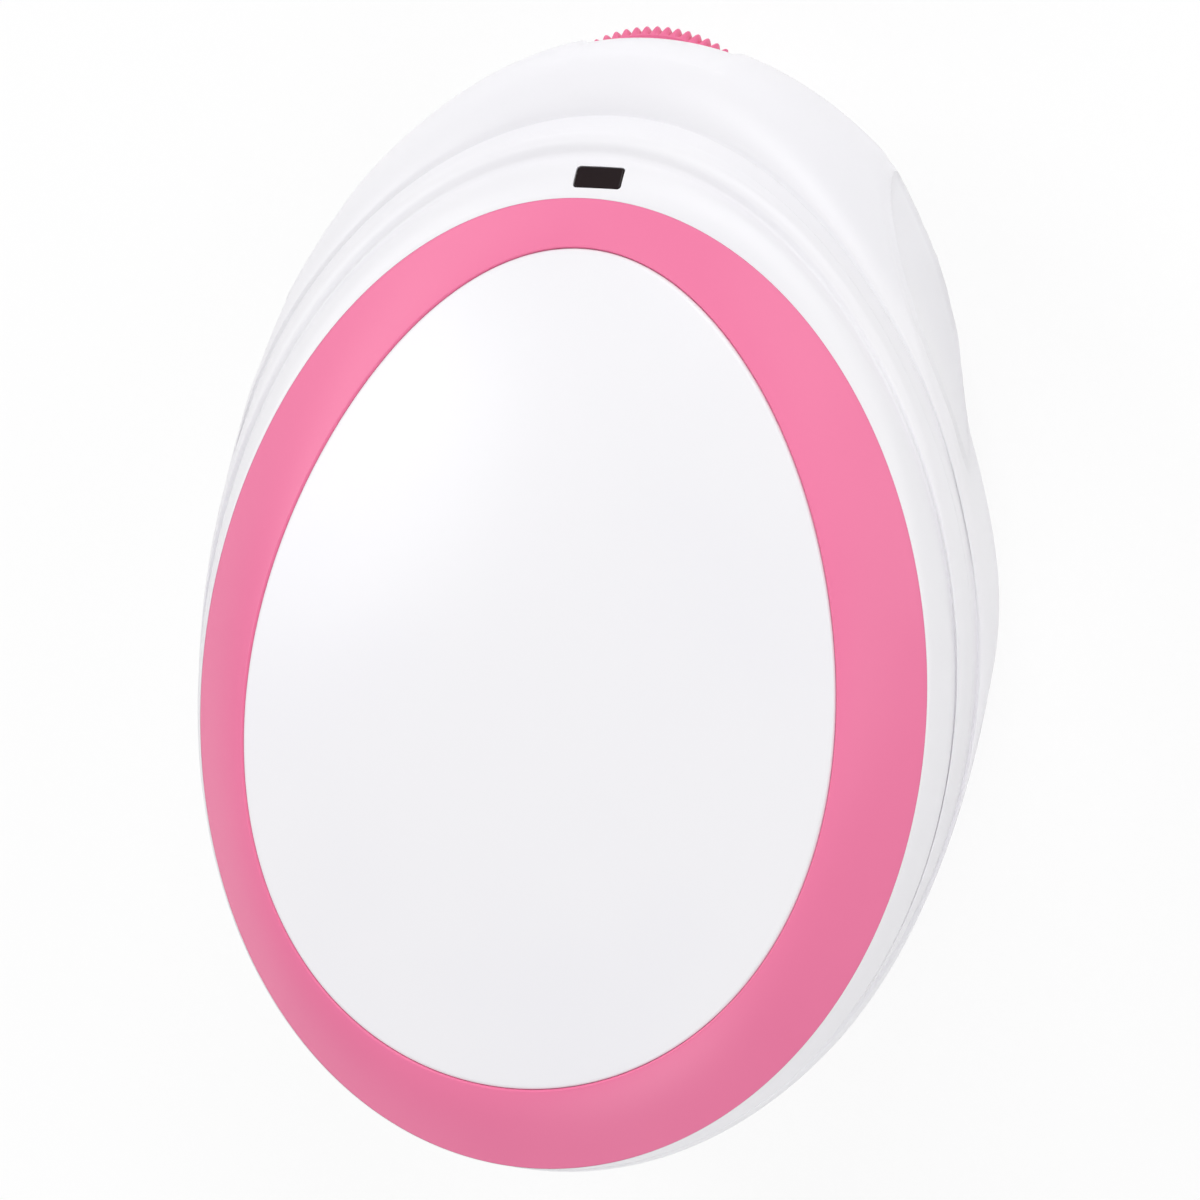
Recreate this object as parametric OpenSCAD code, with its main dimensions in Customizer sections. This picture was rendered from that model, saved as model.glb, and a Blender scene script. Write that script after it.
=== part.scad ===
// Pocket fetal doppler: an egg-shaped hand unit that lies on its back.
// +Z is the front panel's normal, +Y points to the thumbwheel at the narrow end.
// Five-number sizes give values round the outline: wheel end, shoulder, side, hip and wide end.

/* [Accent ring and panel] */
// Half width of the ring's outer edge
ring_half_w = 32.4; // [32:0.1:33]
// How much the ring's outline narrows towards the wheel end
ring_taper = 0.039; // [0:0.001:0.08]
// Height of the ring's outer edge at the sides, above the surface that the part lies on
ring_z = 30; // [29.8:0.1:31]
// How much the ring's outer edge rises at both ends
ring_lift = 0.9; // [0.4:0.1:1.2]
// Share of the ring's slope that is straight; the rest is crowned
ring_straight = 0.5; // [0.2:0.05:1]
// Thickness of the ring and of the panel
ring_thick = 1.6; // [1.2:0.1:2]
// Half width of the panel
panel_half_w = 26; // [22:0.1:27]
// Half length of the panel
panel_half_l = 35.15; // [31:0.05:36]
// How much the panel's outline narrows towards the wheel end
panel_taper = 0.134; // [0:0.001:0.2]
// Distance of the panel's centre from the ring's centre, towards the wheel
panel_shift = 1.3; // [0:0.1:2]
// Height of the panel's edge above the ring's outer edge at the sides
panel_rise = [1.5, 2.8, 4.9, 5.65, 5.6];
// Height of the panel's crown above the same level
panel_crown = 7.9; // [7:0.1:9]
// Clearance between the ring, the panel and the shell they sit in
trim_gap = 0.06; // [0.02:0.01:0.2]

/* [Front shell bands] */
// Reach of the first band beyond the ring
band_out = [3.7, 2.1, 1.38, 0.68, 0.15];
// Depth of the first band's outer edge below the ring's outer edge
band_deep = [1.7, 1.1, 3, 2.6, 2.15];
// Reach of the floor of the first groove
groove_out = [4.5, 2.6, 1.4, 0.42, -0.08];
// Depth of the floor of the first groove
groove_deep = [2.75, 1.75, 3.35, 2.8, 2.35];
// Reach of the second band's inner edge
step_out = [5.4, 3.2, 1.62, 0.72, 0.18];
// Depth of the second band's inner edge
step_deep = [2.6, 1.65, 3.1, 2.95, 2.5];
// Reach of the second band's outer edge, at the seam between the shells
seam_out = [6.3, 4.4, 2.1, 0.48, 0.2];
// Depth of the seam between the shells
seam_deep = [4, 2.4, 5.5, 3.5, 2.95];
// Depth of the front shell's tongue inside the rear shell's rim
tongue = 1; // [0.6:0.1:1.2]
// Width of the front shell's tongue
tongue_w = 1.2; // [1:0.1:1.6]

/* [Rear shell] */
// Reach of the groove below the seam
rim_out = [7.4, 5.05, 2.15, 0.3, 0.08];
// Depth of the groove below the seam
rim_deep = [5.6, 3.4, 6.4, 3.75, 3.2];
// Reach of the rear shell's front crest
crest_out = [8.1, 5.4, 2.45, 0.62, 0.33];
// Depth of the rear shell's front crest
crest_deep = [5.6, 3.3, 6.2, 3.95, 3.35];
// Reach of the body where it is widest
widest_out = [15, 10.1, 2.85, 0.75, 0.5];
// Depth of the body where it is widest
widest_deep = [12.7, 14.7, 7, 4.9, 4.2];
// Reach of the flat back
back_out = [10, -1, -5.8, -8.2, -3.5];
// Height of the flat back above the surface that the part lies on
back_z = 1.2; // [0.8:0.1:2]
// Share of the rear wall's inward slope that is straight
rear_straight = 0.7; // [0.3:0.05:1]
// Thickness of the moulded walls
wall = 1.8; // [1.4:0.1:2.2]
// Half width across the finger grips at their reference point
grip_x = 34.8; // [34:0.05:36]
// Distance of the grips' reference point from the ring's centre
grip_y = 11.6; // [8:0.1:14]
// Depth of the grips' reference point
grip_deep = 6; // [4:0.1:8]
// Inward lean of the grips towards the wheel end, as a slope
grip_lean = 0.297; // [0.2:0.001:0.4]
// Reach of the rounding along the grips' edges
grip_edge = 0.8; // [0.2:0.1:1.5]
// Inward lean of the grips towards the back, as a slope
grip_draft = 0.16; // [0.1:0.01:0.4]

/* [Volume wheel] */
// Radius over the wheel's teeth
wheel_r = 12.5; // [12.2:0.05:12.6]
// Thickness of the wheel
wheel_h = 2.4; // [2:0.1:2.5]
// Number of teeth
wheel_teeth = 82; // [60:1:90]
// Height of a tooth
tooth_h = 0.85; // [0.5:0.05:1.1]
// Distance of the wheel's axis beyond the ring's end
wheel_beyond = 3.4; // [3.2:0.05:3.5]
// Height of the wheel's mid plane
wheel_z = 15.5; // [15.45:0.05:15.6]
// Running clearance round the wheel
wheel_gap = 0.45; // [0.3:0.05:0.6]
// Radius of the wheel's hub
hub_r = 4.2; // [4:0.1:5]
// Width of the wheel's rim, inside its teeth
wheel_rim = 1.2; // [0.8:0.1:2]
// Depth of the hollow between hub and rim, on both faces
wheel_hollow = 0.3; // [0.1:0.05:0.5]
// Radius of the potentiometer's rotor
rotor_r = 2; // [1.5:0.1:2.5]
// Radius of the rotor's flatted tip, inside the wheel's hub
rotor_tip_r = 1.5; // [1.2:0.1:1.8]
// Radius of the potentiometer's body
pot_r = 5.2; // [4.5:0.1:6]
// Running clearance between rotor and potentiometer body
rotor_gap = 0.05; // [0.02:0.01:0.1]

/* [Batteries and door] */
// Radius of a AAA cell
cell_r = 5.25; // [5:0.05:5.25]
// Length of a AAA cell over its nub
cell_l = 44.5; // [43:0.1:44.5]
// Height of the cells' axes
cell_z = 7.5; // [7.4:0.05:7.6]
// Distance between the cells' axes
cell_pitch = 11; // [10.8:0.1:11]
// Room between a cell and the bay
cell_gap = 0.2; // [0.1:0.05:0.25]
// Compressed length of a contact spring
spring_l = 3.2; // [2.8:0.1:3.4]
// Wire diameter of a contact spring
spring_wire = 0.6; // [0.4:0.05:0.8]
// Turns of a contact spring
spring_turns = 3; // [2:1:4]
// Thickness of the contact plates
contact_t = 0.4; // [0.3:0.05:0.5]
// Thickness of the bay's walls and roof
bay_wall = 1; // [0.8:0.1:1.2]
// Gap between the bay and the probe's flange
bay_clear = 0.3; // [0.2:0.05:0.4]
// Reach of the bay beyond the ring's wheel end
bay_beyond = 3.75; // [3.6:0.05:3.8]
// Radius of a cell's nub
nub_r = 1.9; // [1.7:0.1:2.2]
// Length of a cell's nub
nub_l = 1; // [0.8:0.1:1.2]
// Half width of the contact plates
contact_half_w = 4.2; // [3.8:0.1:4.6]
// Reach of the contact plates below the cells' axes
contact_below = 3.5; // [3:0.1:4]
// Reach of the contact plates above the cells' axes
contact_above = 4.5; // [4:0.1:5]
// Half width of the tabs that rise to the board
tab_half_w = 1.5; // [1:0.1:1.8]
// Half width of the door
door_half_w = 13.6; // [12.6:0.1:14]
// Distance of the door's opening from the bay's end on the probe's side
opening_inset = 1.3; // [1:0.1:1.5]
// Play of the cells' length in the door's opening
opening_play = 0.5; // [0.3:0.1:0.8]
// Distance of the first hook from the opening's end
hook_start = 2; // [1.5:0.1:2.5]
// Distance between the hooks
hook_pitch = 15; // [14:0.5:15]
// Height of a hook
hook_h = 0.9; // [0.7:0.1:1]
// Travel of the door before it lifts off
door_travel = 8; // [6:0.5:8]
// Length of each door hook
hook_l = 5; // [4:0.5:6]
// Clearance of the door's rails and hooks
door_gap = 0.12; // [0.05:0.01:0.2]

/* [Probe] */
// Radius of the probe housing
probe_r = 14.2; // [13.6:0.1:14.4]
// Distance of the probe's flange from the ring's wide end
probe_inset = 5.45; // [5.2:0.05:5.6]
// Reach of the housing's flange beyond it, inside the shell
flange = 0.7; // [0.5:0.05:0.8]
// Height of the probe housing
probe_h = 9.2; // [8:0.1:11]
// Wall of the probe housing
probe_wall = 1.4; // [1:0.1:1.8]
// Thickness of the acoustic lens
lens_t = 1.6; // [1:0.1:2]
// Radius of the pair of crystals
crystal_r = 9; // [7:0.1:11]
// Thickness of the crystals
crystal_t = 1; // [0.6:0.1:1.4]
// Gap between the transmit and the receive crystal
crystal_gap = 1; // [0.6:0.1:2]
// Radius of the backing block
backing_r = 11.5; // [10:0.1:12.5]
// Height of the backing block
backing_h = 5; // [4:0.1:5.2]
// Height of the lens's face above the surface that the part lies on
lens_z = 0.2; // [0.1:0.05:0.4]
// Thickness of the probe's rubber seal
seal_t = 0.5; // [0.4:0.1:0.8]
// Thickness of the housing's flange
flange_t = 1.2; // [0.8:0.1:1.4]
// Radius of a lead from the crystals
lead_r = 0.6; // [0.4:0.05:0.7]
// Distance of the leads from the probe's axis
lead_x = 3; // [2.5:0.1:4]
// Size of the header that takes the leads
header_size = [10, 3.2, 3];

/* [Board and jacks] */
// Height of the board's underside
board_z = 19.6; // [19.4:0.1:20]
// Thickness of the board
board_t = 1.2; // [0.8:0.1:1.6]
// Reach of the board beyond the ring
board_out = [5, 0.5, -2.6, -4, -4];
// Radius of the earphone socket's bore
jack_bore_r = 1.77; // [1.75:0.01:1.8]
// Depth of the earphone socket's bore
jack_bore_l = 14; // [12:0.5:14.5]
// Positions of the two earphone sockets along the left side
jack_y = [-4, 7];
// Width of a jack's body
jack_w = 6.4; // [5.6:0.1:7]
// Height of a jack's body
jack_h = 5; // [4.6:0.1:5]
// Radius of a jack's nose
jack_nose_r = 2.45; // [2.3:0.05:2.45]
// Length of a jack's nose
jack_nose_l = 3.4; // [3:0.1:4]
// Length of a jack's body
jack_l = 12.6; // [12:0.1:13]
// Width of the indicator window
window_w = 4.1; // [3:0.1:5]
// Height of the indicator window
window_l = 2.1; // [1.6:0.1:2.4]
// Reach of the window's centre beyond the ring
window_out = 1.85; // [1.6:0.05:2.1]
// Distance of the window from the middle, to the right
window_x = 0.9; // [0:0.1:1.2]
// Depth of the window's face below the ring's end
window_deep = 0.62; // [0.5:0.01:0.8]
// Slope of the shell at the window, degrees
window_tilt = 26; // [20:1:30]
// Thickness of the window
window_t = 1.3; // [1:0.1:1.5]
// Half width and half length of the light pipe
pipe_half = [1.5, 0.7];
// Clearance of the light pipe in the front shell
pipe_gap = 0.1; // [0.05:0.01:0.2]
// Size of the lamp on the board
lamp_size = [3.5, 2.8, 1.1];
// Place of the microcontroller on the board
mcu_at = [-3.5, 0];
// Size of the microcontroller
mcu_size = [7, 7, 1.1];
// Place of the audio amplifier
amplifier_at = [-20, 0];
// Size of the audio amplifier
amplifier_size = [6, 5, 1.6];
// Size of the shield can
shield_size = [20, 16, 2.8];
// Thickness of the shield can's sheet
shield_t = 0.3; // [0.2:0.05:0.5]
// Distance of the shield can's middle from the probe's axis
shield_from_probe = 4; // [3:0.1:5]
// Places of the can capacitors
capacitors_at = [[20, 2], [20, 8], [20, 14]];
// Radius of a can capacitor
capacitor_r = 2.4; // [2:0.1:2.6]
// Height of a can capacitor
capacitor_h = 5.2; // [4.5:0.1:5.4]
// Place of the timing crystal
timing_at = [8, 0];
// Size of the timing crystal's can
timing_size = [3.5, 9, 2.2];

/* [Screws] */
// Places of the case screws, on the right side
case_screws_at = [[17, 20], [18, -13]];
// Radius of a case screw's shank
screw_r = 0.95; // [0.8:0.05:1.1]
// Radius of a case screw's head
screw_head_r = 2; // [1.8:0.1:2.1]
// Height of the seat of a case screw's head
screw_seat_z = 6; // [5:0.1:8]
// Radius of the rear shell's screw bosses
boss_r = 3; // [2.8:0.1:3.2]
// Height of the joint between the rear and the front bosses
boss_joint_z = 12; // [10:0.5:14]
// Clearance round the screws
screw_gap = 0.05; // [0.02:0.01:0.1]
// Places of the board's screws
board_screws_at = [[-8, -8], [8, -8], [0, 18]];
// Radius of a board screw's shank
board_screw_r = 0.75; // [0.6:0.05:0.9]
// Radius of a board screw's head
board_head_r = 1.6; // [1.4:0.1:1.8]
// Radius of the posts that carry the board
board_post_r = 2.2; // [2:0.1:2.4]

/* [Hidden] */

$fn = 48;
steps = 72;
bay_len = cell_l + spring_l + 2 * contact_t;
ring_half_l = (probe_inset + 2 * (probe_r + flange) + bay_clear + bay_wall + bay_len - bay_beyond) / 2;
foot_reach = ring_half_l + max(crest_out[4], widest_out[4]);
wheel_from_ring = ring_half_l + wheel_beyond;
ring_y = (foot_reach - wheel_from_ring - wheel_r) / 2;
wheel_y = ring_y + wheel_from_ring;
back_deep = ring_z - back_z;
floor_z = back_z + wall;
crown_z = ring_z + panel_crown;
board_top = board_z + board_t;
wheel_low = wheel_z - wheel_h / 2;
wheel_high = wheel_z + wheel_h / 2;
probe_y = ring_y - ring_half_l + probe_inset + flange + probe_r;
crystal_z = lens_z + lens_t;
backing_z = crystal_z + crystal_t;
cell_x = cell_pitch / 2;
bay_half_w = cell_x + cell_r + cell_gap;
bay_y = probe_y + probe_r + flange + bay_clear + bay_wall;
bay_end = bay_y + bay_len;
bay_top = cell_z + cell_r + cell_gap;
roof_z = bay_top + bay_wall;
contact_y = bay_y + contact_t;
rail_in = cell_x + cell_r - 1.15;
rail_out = rail_in + 0.7;
hook_out = rail_out + 1.2;
hook_z = floor_z + door_gap;
opening_half_w = rail_out + door_gap;
opening_y = bay_y + opening_inset;
opening_end = opening_y + cell_l + opening_play;
hooks_at = [for (i = [0:2]) opening_y + hook_start + i * hook_pitch];
pilot_r = screw_r + screw_gap;
jack_z = board_z - max(jack_h / 2, jack_nose_r);
jack_face = -ring_half_w - 0.1;
window_y = ring_y + ring_half_l + window_out;
window_z = ring_z + ring_lift - window_deep;
angles = [for (i = [0:steps - 1]) i * 360 / steps];

// A five-number size at angle t of the outline, 90 at the wheel end and 270 at the wide end: a
// smooth Catmull-Rom curve through the values at every 45 degrees, alike on both sides
function around(t, v) =
    let (w = [v[3], v[4], v[3], v[2], v[1], v[0], v[1]], u = 2 + asin(sin(t)) / 45, k = min(floor(u), 3),
        f = u - k, a = w[k], b = w[k + 1], c = w[k + 2], d = w[k + 3])
    (2 * b + (c - a) * f + (2 * a - 5 * b + 4 * c - d) * f * f + (3 * b - a - 3 * c + d) * f * f * f) / 2;

// A point of the ring's outer edge, moved outwards in the plan by out
function plan(t, out) =
    [(ring_half_w * (1 - ring_taper * sin(t)) + out) * cos(t), ring_y + (ring_half_l + out) * sin(t)];

// Height of the ring's outer edge
function edge_z(t) = ring_z + ring_lift * pow(sin(t), 2);

// A point of the panel's edge, its outline scaled by k and moved outwards by out
function panel_plan(t, k, out) =
    [(panel_half_w * (1 - panel_taper * sin(t)) * k + out) * cos(t),
     ring_y + panel_shift + (panel_half_l * k + out) * sin(t)];

// A closed loop of points at five-number reaches and depths, held in by less
function band(out, deep, less = 0) =
    [for (t = angles) concat(plan(t, around(t, out) - less), edge_z(t) - around(t, deep))];

// A loop of the ring's face, f of the way from its outer to its inner edge, lowered by drop
function ring_loop(f, drop, out = 0, in = 0) =
    [for (t = angles)
        let (a = plan(t, out), b = panel_plan(t, 1, in), z = ring_z + around(t, panel_rise))
        concat(a + (b - a) * f,
            edge_z(t) + (z - edge_z(t)) * (ring_straight * f + (1 - ring_straight) * sin(90 * f)) - drop)];

// A loop of the panel's dome at k of its outline, lowered by drop and moved outwards by out
function panel_loop(k, drop, out = 0) =
    [for (t = angles)
        concat(panel_plan(t, k, out), crown_z - (panel_crown - around(t, panel_rise)) * k * k - drop)];

// A small flat loop at the panel's middle, lowered by drop
function centre_loop(drop) = [for (t = angles) concat(panel_plan(t, 0.05, 0), crown_z - drop)];

// The smaller of two values, with the corner between them rounded over r
function soft_min(a, b, r) = min(a, b) - pow(max(r - abs(a - b), 0), 2) / (4 * r);

// A point of the rear shell, held in by the flat finger grips
function gripped(p, inset) =
    let (limit = grip_x - inset - grip_lean * (p[1] - ring_y - grip_y)
            - grip_draft * (ring_z - p[2] - grip_deep))
    [sign(p[0]) * soft_min(abs(p[0]), limit, grip_edge), p[1], p[2]];

// The rear shell between its crest and its widest loop: a quarter ellipse at angle a
function shoulder_loop(a, less) =
    [for (t = angles)
        let (o1 = around(t, crest_out), o2 = around(t, widest_out),
            z1 = edge_z(t) - around(t, crest_deep), z2 = ring_z - around(t, widest_deep))
        gripped(concat(plan(t, o1 + (o2 - o1) * sin(a) - less), z1 + (z2 - z1) * (1 - cos(a))), less)];

// The rear shell between its widest loop and its back: part straight, part a quarter ellipse
function rear_loop(a, less, up) =
    [for (t = angles)
        let (o1 = around(t, widest_out), o2 = around(t, back_out),
            d1 = around(t, widest_deep), d2 = back_deep - up,
            f = rear_straight * sin(a) + (1 - rear_straight) * (1 - cos(a)))
        gripped(concat(plan(t, o1 - (o1 - o2) * f - less), ring_z - d1 - (d2 - d1) * sin(a)), less)];

// A closed solid through loops of equal length, capped at both ends or joined into a ring
module loft(loops, closed = false) {
    n = len(loops[0]);
    m = len(loops);
    polyhedron(
        points = [for (l = loops) each l],
        faces = concat(
            [for (j = [0:closed ? m - 1 : m - 2], i = [0:n - 1])
                let (k = (i + 1) % n, a = j * n, b = ((j + 1) % m) * n)
                each [[a + i, b + k, a + k], [a + i, b + i, b + k]]],
            closed ? [] : [[for (i = [0:n - 1]) i], [for (i = [n - 1:-1:0]) (m - 1) * n + i]]));
}

// A cylinder between two heights
module post(x, y, r, low, high) {
    translate([x, y, low]) cylinder(r = r, h = high - low);
}

// A block between two corners
module block(low, high) {
    translate(low) cube(high - low);
}

// Its children at both sides of the object
module both_sides() {
    for (side = [0, 1]) mirror([side, 0, 0]) children();
}

module case_bosses(r, low, high) {
    both_sides() for (p = case_screws_at) post(p[0], p[1], r, low, high);
}

// White front cover: two stepped bands round a domed deck that the ring and the panel lie on
module front_shell() {
    tongue_out = wall + 0.15;
    tongue_deep = seam_deep + [for (k = [0:4]) tongue];
    color("white") difference() {
        union() {
            loft(concat(
                [centre_loop(ring_thick + wall)],
                [for (k = [0.4, 0.7, 0.9, 1]) panel_loop(k, ring_thick + wall)],
                [for (f = [0.7, 0.45]) ring_loop(f, ring_thick + wall)],
                [band(seam_out, tongue_deep, tongue_out + tongue_w),
                band(seam_out, tongue_deep, tongue_out),
                band(seam_out, seam_deep, tongue_out),
                band(seam_out, seam_deep),
                band((seam_out * 4 + step_out) / 5, (seam_deep * 2 + step_deep) / 3),
                band((seam_out + step_out) / 2, (seam_deep + step_deep * 3) / 4),
                band(step_out, step_deep),
                band(groove_out, groove_deep),
                band(band_out, band_deep),
                band(band_out * 0.8, band_deep * 0.66),
                band(band_out * 0.5, band_deep * 0.3),
                band(band_out * 0.2, band_deep * 0.07),
                band(band_out * 0, band_deep * 0 + [for (k = [0:4]) 0.15])],
                [for (f = [0, 0.35, 0.7]) ring_loop(f, ring_thick)],
                [for (k = [1, 0.9, 0.7, 0.4]) panel_loop(k, ring_thick)],
                [centre_loop(ring_thick)]));
            intersection() {
                case_bosses(boss_r - 0.4, boss_joint_z + screw_gap, crown_z);
                loft(concat(
                    [[for (p = ring_loop(0, 0)) [p[0], p[1], boss_joint_z]]],
                    [for (f = [0, 0.5, 0.9]) ring_loop(f, ring_thick + 0.4)],
                    [for (k = [0.9, 0.6, 0.3]) panel_loop(k, ring_thick + 0.4)],
                    [centre_loop(ring_thick + 0.4)]));
            }
        }
        case_bosses(pilot_r, boss_joint_z - 1, boss_joint_z + 9);
        at_window() cube([window_w, window_l, 6], center = true);
        pipe(pipe_gap, board_top, window_z);
    }
}

// Its children in the window's place, square to the shell there
module at_window() {
    translate([window_x, window_y, window_z]) rotate([-window_tilt, 0, 0]) children();
}

// The light pipe's column between two heights, grown by more
module pipe(more, low, high) {
    block([window_x - pipe_half[0] - more, window_y - pipe_half[1] - more, low],
        [window_x + pipe_half[0] + more, window_y + pipe_half[1] + more, high]);
}

// Pink ring: a sloped and crowned trim round the panel
module accent_ring() {
    under = ring_thick - trim_gap;
    color("hotpink") loft([
        for (q = [[1, under], [0.7, under], [0.35, under], [0, under], [0, 0.25], [0.04, 0], [0.2, 0],
            [0.4, 0], [0.6, 0], [0.8, 0], [0.97, 0], [1, 0.2]])
            ring_loop(q[0], q[1], -trim_gap, trim_gap)
    ], closed = true);
}

// White domed panel: a skin of even thickness on the front shell's deck
module front_panel() {
    under = ring_thick - trim_gap;
    color("white") loft(concat(
        [centre_loop(under)],
        [for (q = [[0.4, under], [0.7, under], [0.9, under], [1, under], [1, 0.3], [0.985, 0.03], [0.85, 0],
            [0.65, 0], [0.4, 0], [0.2, 0]]) panel_loop(q[0], q[1], -trim_gap)],
        [centre_loop(0)]));
}

// Dark smoked window, set a little below the shell's face
module indicator_lens() {
    color("black") at_window() translate([0, 0, -0.1 - window_t / 2])
        cube([window_w - 2 * trim_gap, window_l - 2 * trim_gap, window_t], center = true);
}

// Clear pipe that brings the lamp's light up to the window
module light_pipe() {
    color("gainsboro") pipe(0, board_top + lamp_size[2] + 0.05, window_z - window_t - 0.6);
}

// Surface-mounted lamp on the board
module indicator_lamp() {
    color("khaki") chip([window_x - lamp_size[0] / 2, window_y - lamp_size[1] / 2], lamp_size);
}

// A part on the board, its corner at a place
module chip(at, size) {
    translate([at[0], at[1], board_top]) cube(size);
}

// White rear housing: egg-shaped tub with grips, battery bay, bosses and openings
module rear_shell() {
    rim_top = seam_deep + [for (k = [0:4]) 0.05];
    color("white") difference() {
        union() {
            loft(concat(
                [for (a = [90:-15:0]) rear_loop(a, 0, 0)],
                [for (a = [65:-22:1]) shoulder_loop(a, 0)],
                [shoulder_loop(0, 0)],
                [band(rim_out, rim_deep)],
                [band(seam_out, rim_top)],
                [band(seam_out, rim_top, wall)],
                [for (a = [20:22.5:65]) shoulder_loop(a, wall)],
                [for (a = [0:15:90]) rear_loop(a, wall, wall)]));
            intersection() {
                bay_block();
                loft(concat([for (a = [90:-15:0]) rear_loop(a, 0.3, 0.3)], [shoulder_loop(60, 0.3)]));
            }
            case_bosses(boss_r, back_z + 1, boss_joint_z);
            for (p = board_screws_at) post(p[0], p[1], board_post_r, roof_z - 0.5, board_z);
        }
        battery_space();
        case_bosses(screw_r + 0.3, 0, boss_joint_z + 1);
        case_bosses(screw_head_r + 0.3, -1, screw_seat_z);
        for (p = board_screws_at) post(p[0], p[1], board_screw_r + screw_gap, roof_z + 0.2, board_z + 1);
        post(0, probe_y, probe_r + 0.1, -1, floor_z + 1);
        post(0, probe_y, probe_r + flange + 0.1, floor_z, floor_z + seal_t + flange_t + 0.3);
        post(0, wheel_y, wheel_r + wheel_gap, wheel_low - 0.3, wheel_high + 0.3);
        for (y = jack_y) jack_cylinder(y, jack_nose_r + 0.1, jack_face - 6, jack_face + 14);
    }
}

// The battery bay's outside: walls and roof
module bay_block() {
    block([-bay_half_w - bay_wall, bay_y - bay_wall, back_z + 0.5],
        [bay_half_w + bay_wall, bay_end + bay_wall, roof_z]);
}

// Everything that the battery bay leaves open: the room for the cells, the door's opening, its hook tracks
module battery_space() {
    block([-bay_half_w, bay_y, floor_z], [bay_half_w, bay_end, bay_top]);
    for (x = [-cell_x, cell_x]) translate([x, bay_y, cell_z]) rotate([-90, 0, 0])
        cylinder(r = cell_r + cell_gap, h = bay_len);
    block([-opening_half_w, opening_y, 0], [opening_half_w, opening_end, floor_z + 1]);
    both_sides() for (y = hooks_at) {
        block([opening_half_w - 1, y - door_gap, floor_z - 0.01],
            [hook_out + door_gap, y + hook_l + door_travel + door_gap, hook_z + hook_h + door_gap]);
        block([opening_half_w - 1, y + door_travel - door_gap, 0],
            [hook_out + door_gap, y + hook_l + door_travel + door_gap, floor_z + 0.5]);
    }
    for (x = [-cell_x, cell_x]) 
        block([x - tab_half_w - 0.2, bay_y - 0.1, bay_top - 1],
            [x + tab_half_w + 0.2, contact_y + 0.1, roof_z + 1]);
}

// Pink thumbwheel with fine rounded teeth
module volume_wheel() {
    valley = wheel_r - tooth_h;
    tooth = [[0, 0], [0.22, 0.1], [0.38, 0.75], [0.5, 1], [0.62, 0.75], [0.78, 0.1]];
    color("hotpink") translate([0, wheel_y, wheel_low]) difference() {
        linear_extrude(height = wheel_h) polygon([
            for (i = [0:wheel_teeth - 1], q = tooth)
                let (a = (i + q[0]) * 360 / wheel_teeth, r = valley + tooth_h * q[1])
                    [r * cos(a), r * sin(a)]]);
        translate([0, 0, -1]) cylinder(r = rotor_tip_r + rotor_gap, h = wheel_h + 2);
        translate([0, 0, -1]) cylinder(r = screw_head_r + 0.2, h = 1.9);
        for (low = [wheel_hollow - 1, wheel_h - wheel_hollow]) translate([0, 0, low]) difference() {
            cylinder(r = valley - wheel_rim, h = 1);
            translate([0, 0, -1]) cylinder(r = hub_r, h = 3);
        }
    }
}

// Screw that holds the wheel on the rotor
module wheel_screw() {
    color("silver") {
        post(0, wheel_y, screw_head_r, wheel_low + 0.1, wheel_low + 0.9);
        post(0, wheel_y, 0.6, wheel_low + 0.85, wheel_high);
    }
}

// Rotor of the potentiometer: a collar in the body and a tip in the wheel's hub
module pot_rotor() {
    color("dimgray") difference() {
        union() {
            post(0, wheel_y, rotor_tip_r, wheel_low + 1, wheel_high + 0.1);
            post(0, wheel_y, rotor_r, wheel_high, wheel_high + 1.6);
            post(0, wheel_y, rotor_r + 1.6, wheel_high, wheel_high + 0.3);
        }
        post(0, wheel_y, 0.6 + screw_gap, wheel_low, wheel_high + 0.2);
    }
}

// Potentiometer body under the board
module pot_body() {
    color("darkslategray") difference() {
        union() {
            post(0, wheel_y, pot_r, wheel_high + 0.4, board_z);
            block([-4, wheel_y - pot_r - 2, board_z - 1], [4, wheel_y - pot_r + 1, board_z]);
        }
        post(0, wheel_y, rotor_r + rotor_gap, wheel_high, wheel_high + 1.75);
    }
}

// Circuit board, cut to the inside of the housing
module main_board() {
    color("seagreen") difference() {
        translate([0, 0, board_z]) linear_extrude(height = board_t)
            polygon([for (t = [0:6:354]) plan(t, around(t, board_out))]);
        case_bosses(boss_r, board_z - 1, board_top + 1);
        for (p = board_screws_at) post(p[0], p[1], board_screw_r + 0.35, board_z - 1, board_top + 1);
    }
}

// Microcontroller, a square flat pack
module microcontroller() {
    color("black") chip(mcu_at, mcu_size);
}

// Audio amplifier, a small outline pack
module audio_amplifier() {
    color("black") chip(amplifier_at, amplifier_size);
}

// Tin shield over the analogue front end
module shield_can() {
    middle = probe_y + shield_from_probe;
    half = [shield_size[0], shield_size[1]] / 2;
    inner = half - [shield_t, shield_t];
    color("silver") difference() {
        block([-half[0], middle - half[1], board_top],
            [half[0], middle + half[1], board_top + shield_size[2]]);
        block([-inner[0], middle - inner[1], board_top - 1],
            [inner[0], middle + inner[1], board_top + shield_size[2] - shield_t]);
    }
}

// Row of can capacitors
module capacitors() {
    color("lightslategray") for (p = capacitors_at)
        post(p[0], p[1], capacitor_r, board_top, board_top + capacitor_h);
}

// Timing crystal in its long can
module timing_crystal() {
    color("silver") chip(timing_at, timing_size);
}

// Two 3.5 mm earphone sockets on the left side, their noses level with the side wall
module earphone_jacks() {
    body_x = jack_face + jack_nose_l;
    color("dimgray") for (y = jack_y) difference() {
        union() {
            block([body_x, y - jack_w / 2, board_z - jack_h], [body_x + jack_l, y + jack_w / 2, board_z]);
            jack_cylinder(y, jack_nose_r, jack_face, body_x + 1);
        }
        jack_cylinder(y, jack_bore_r, jack_face - 1, jack_face + jack_bore_l);
    }
}

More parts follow.
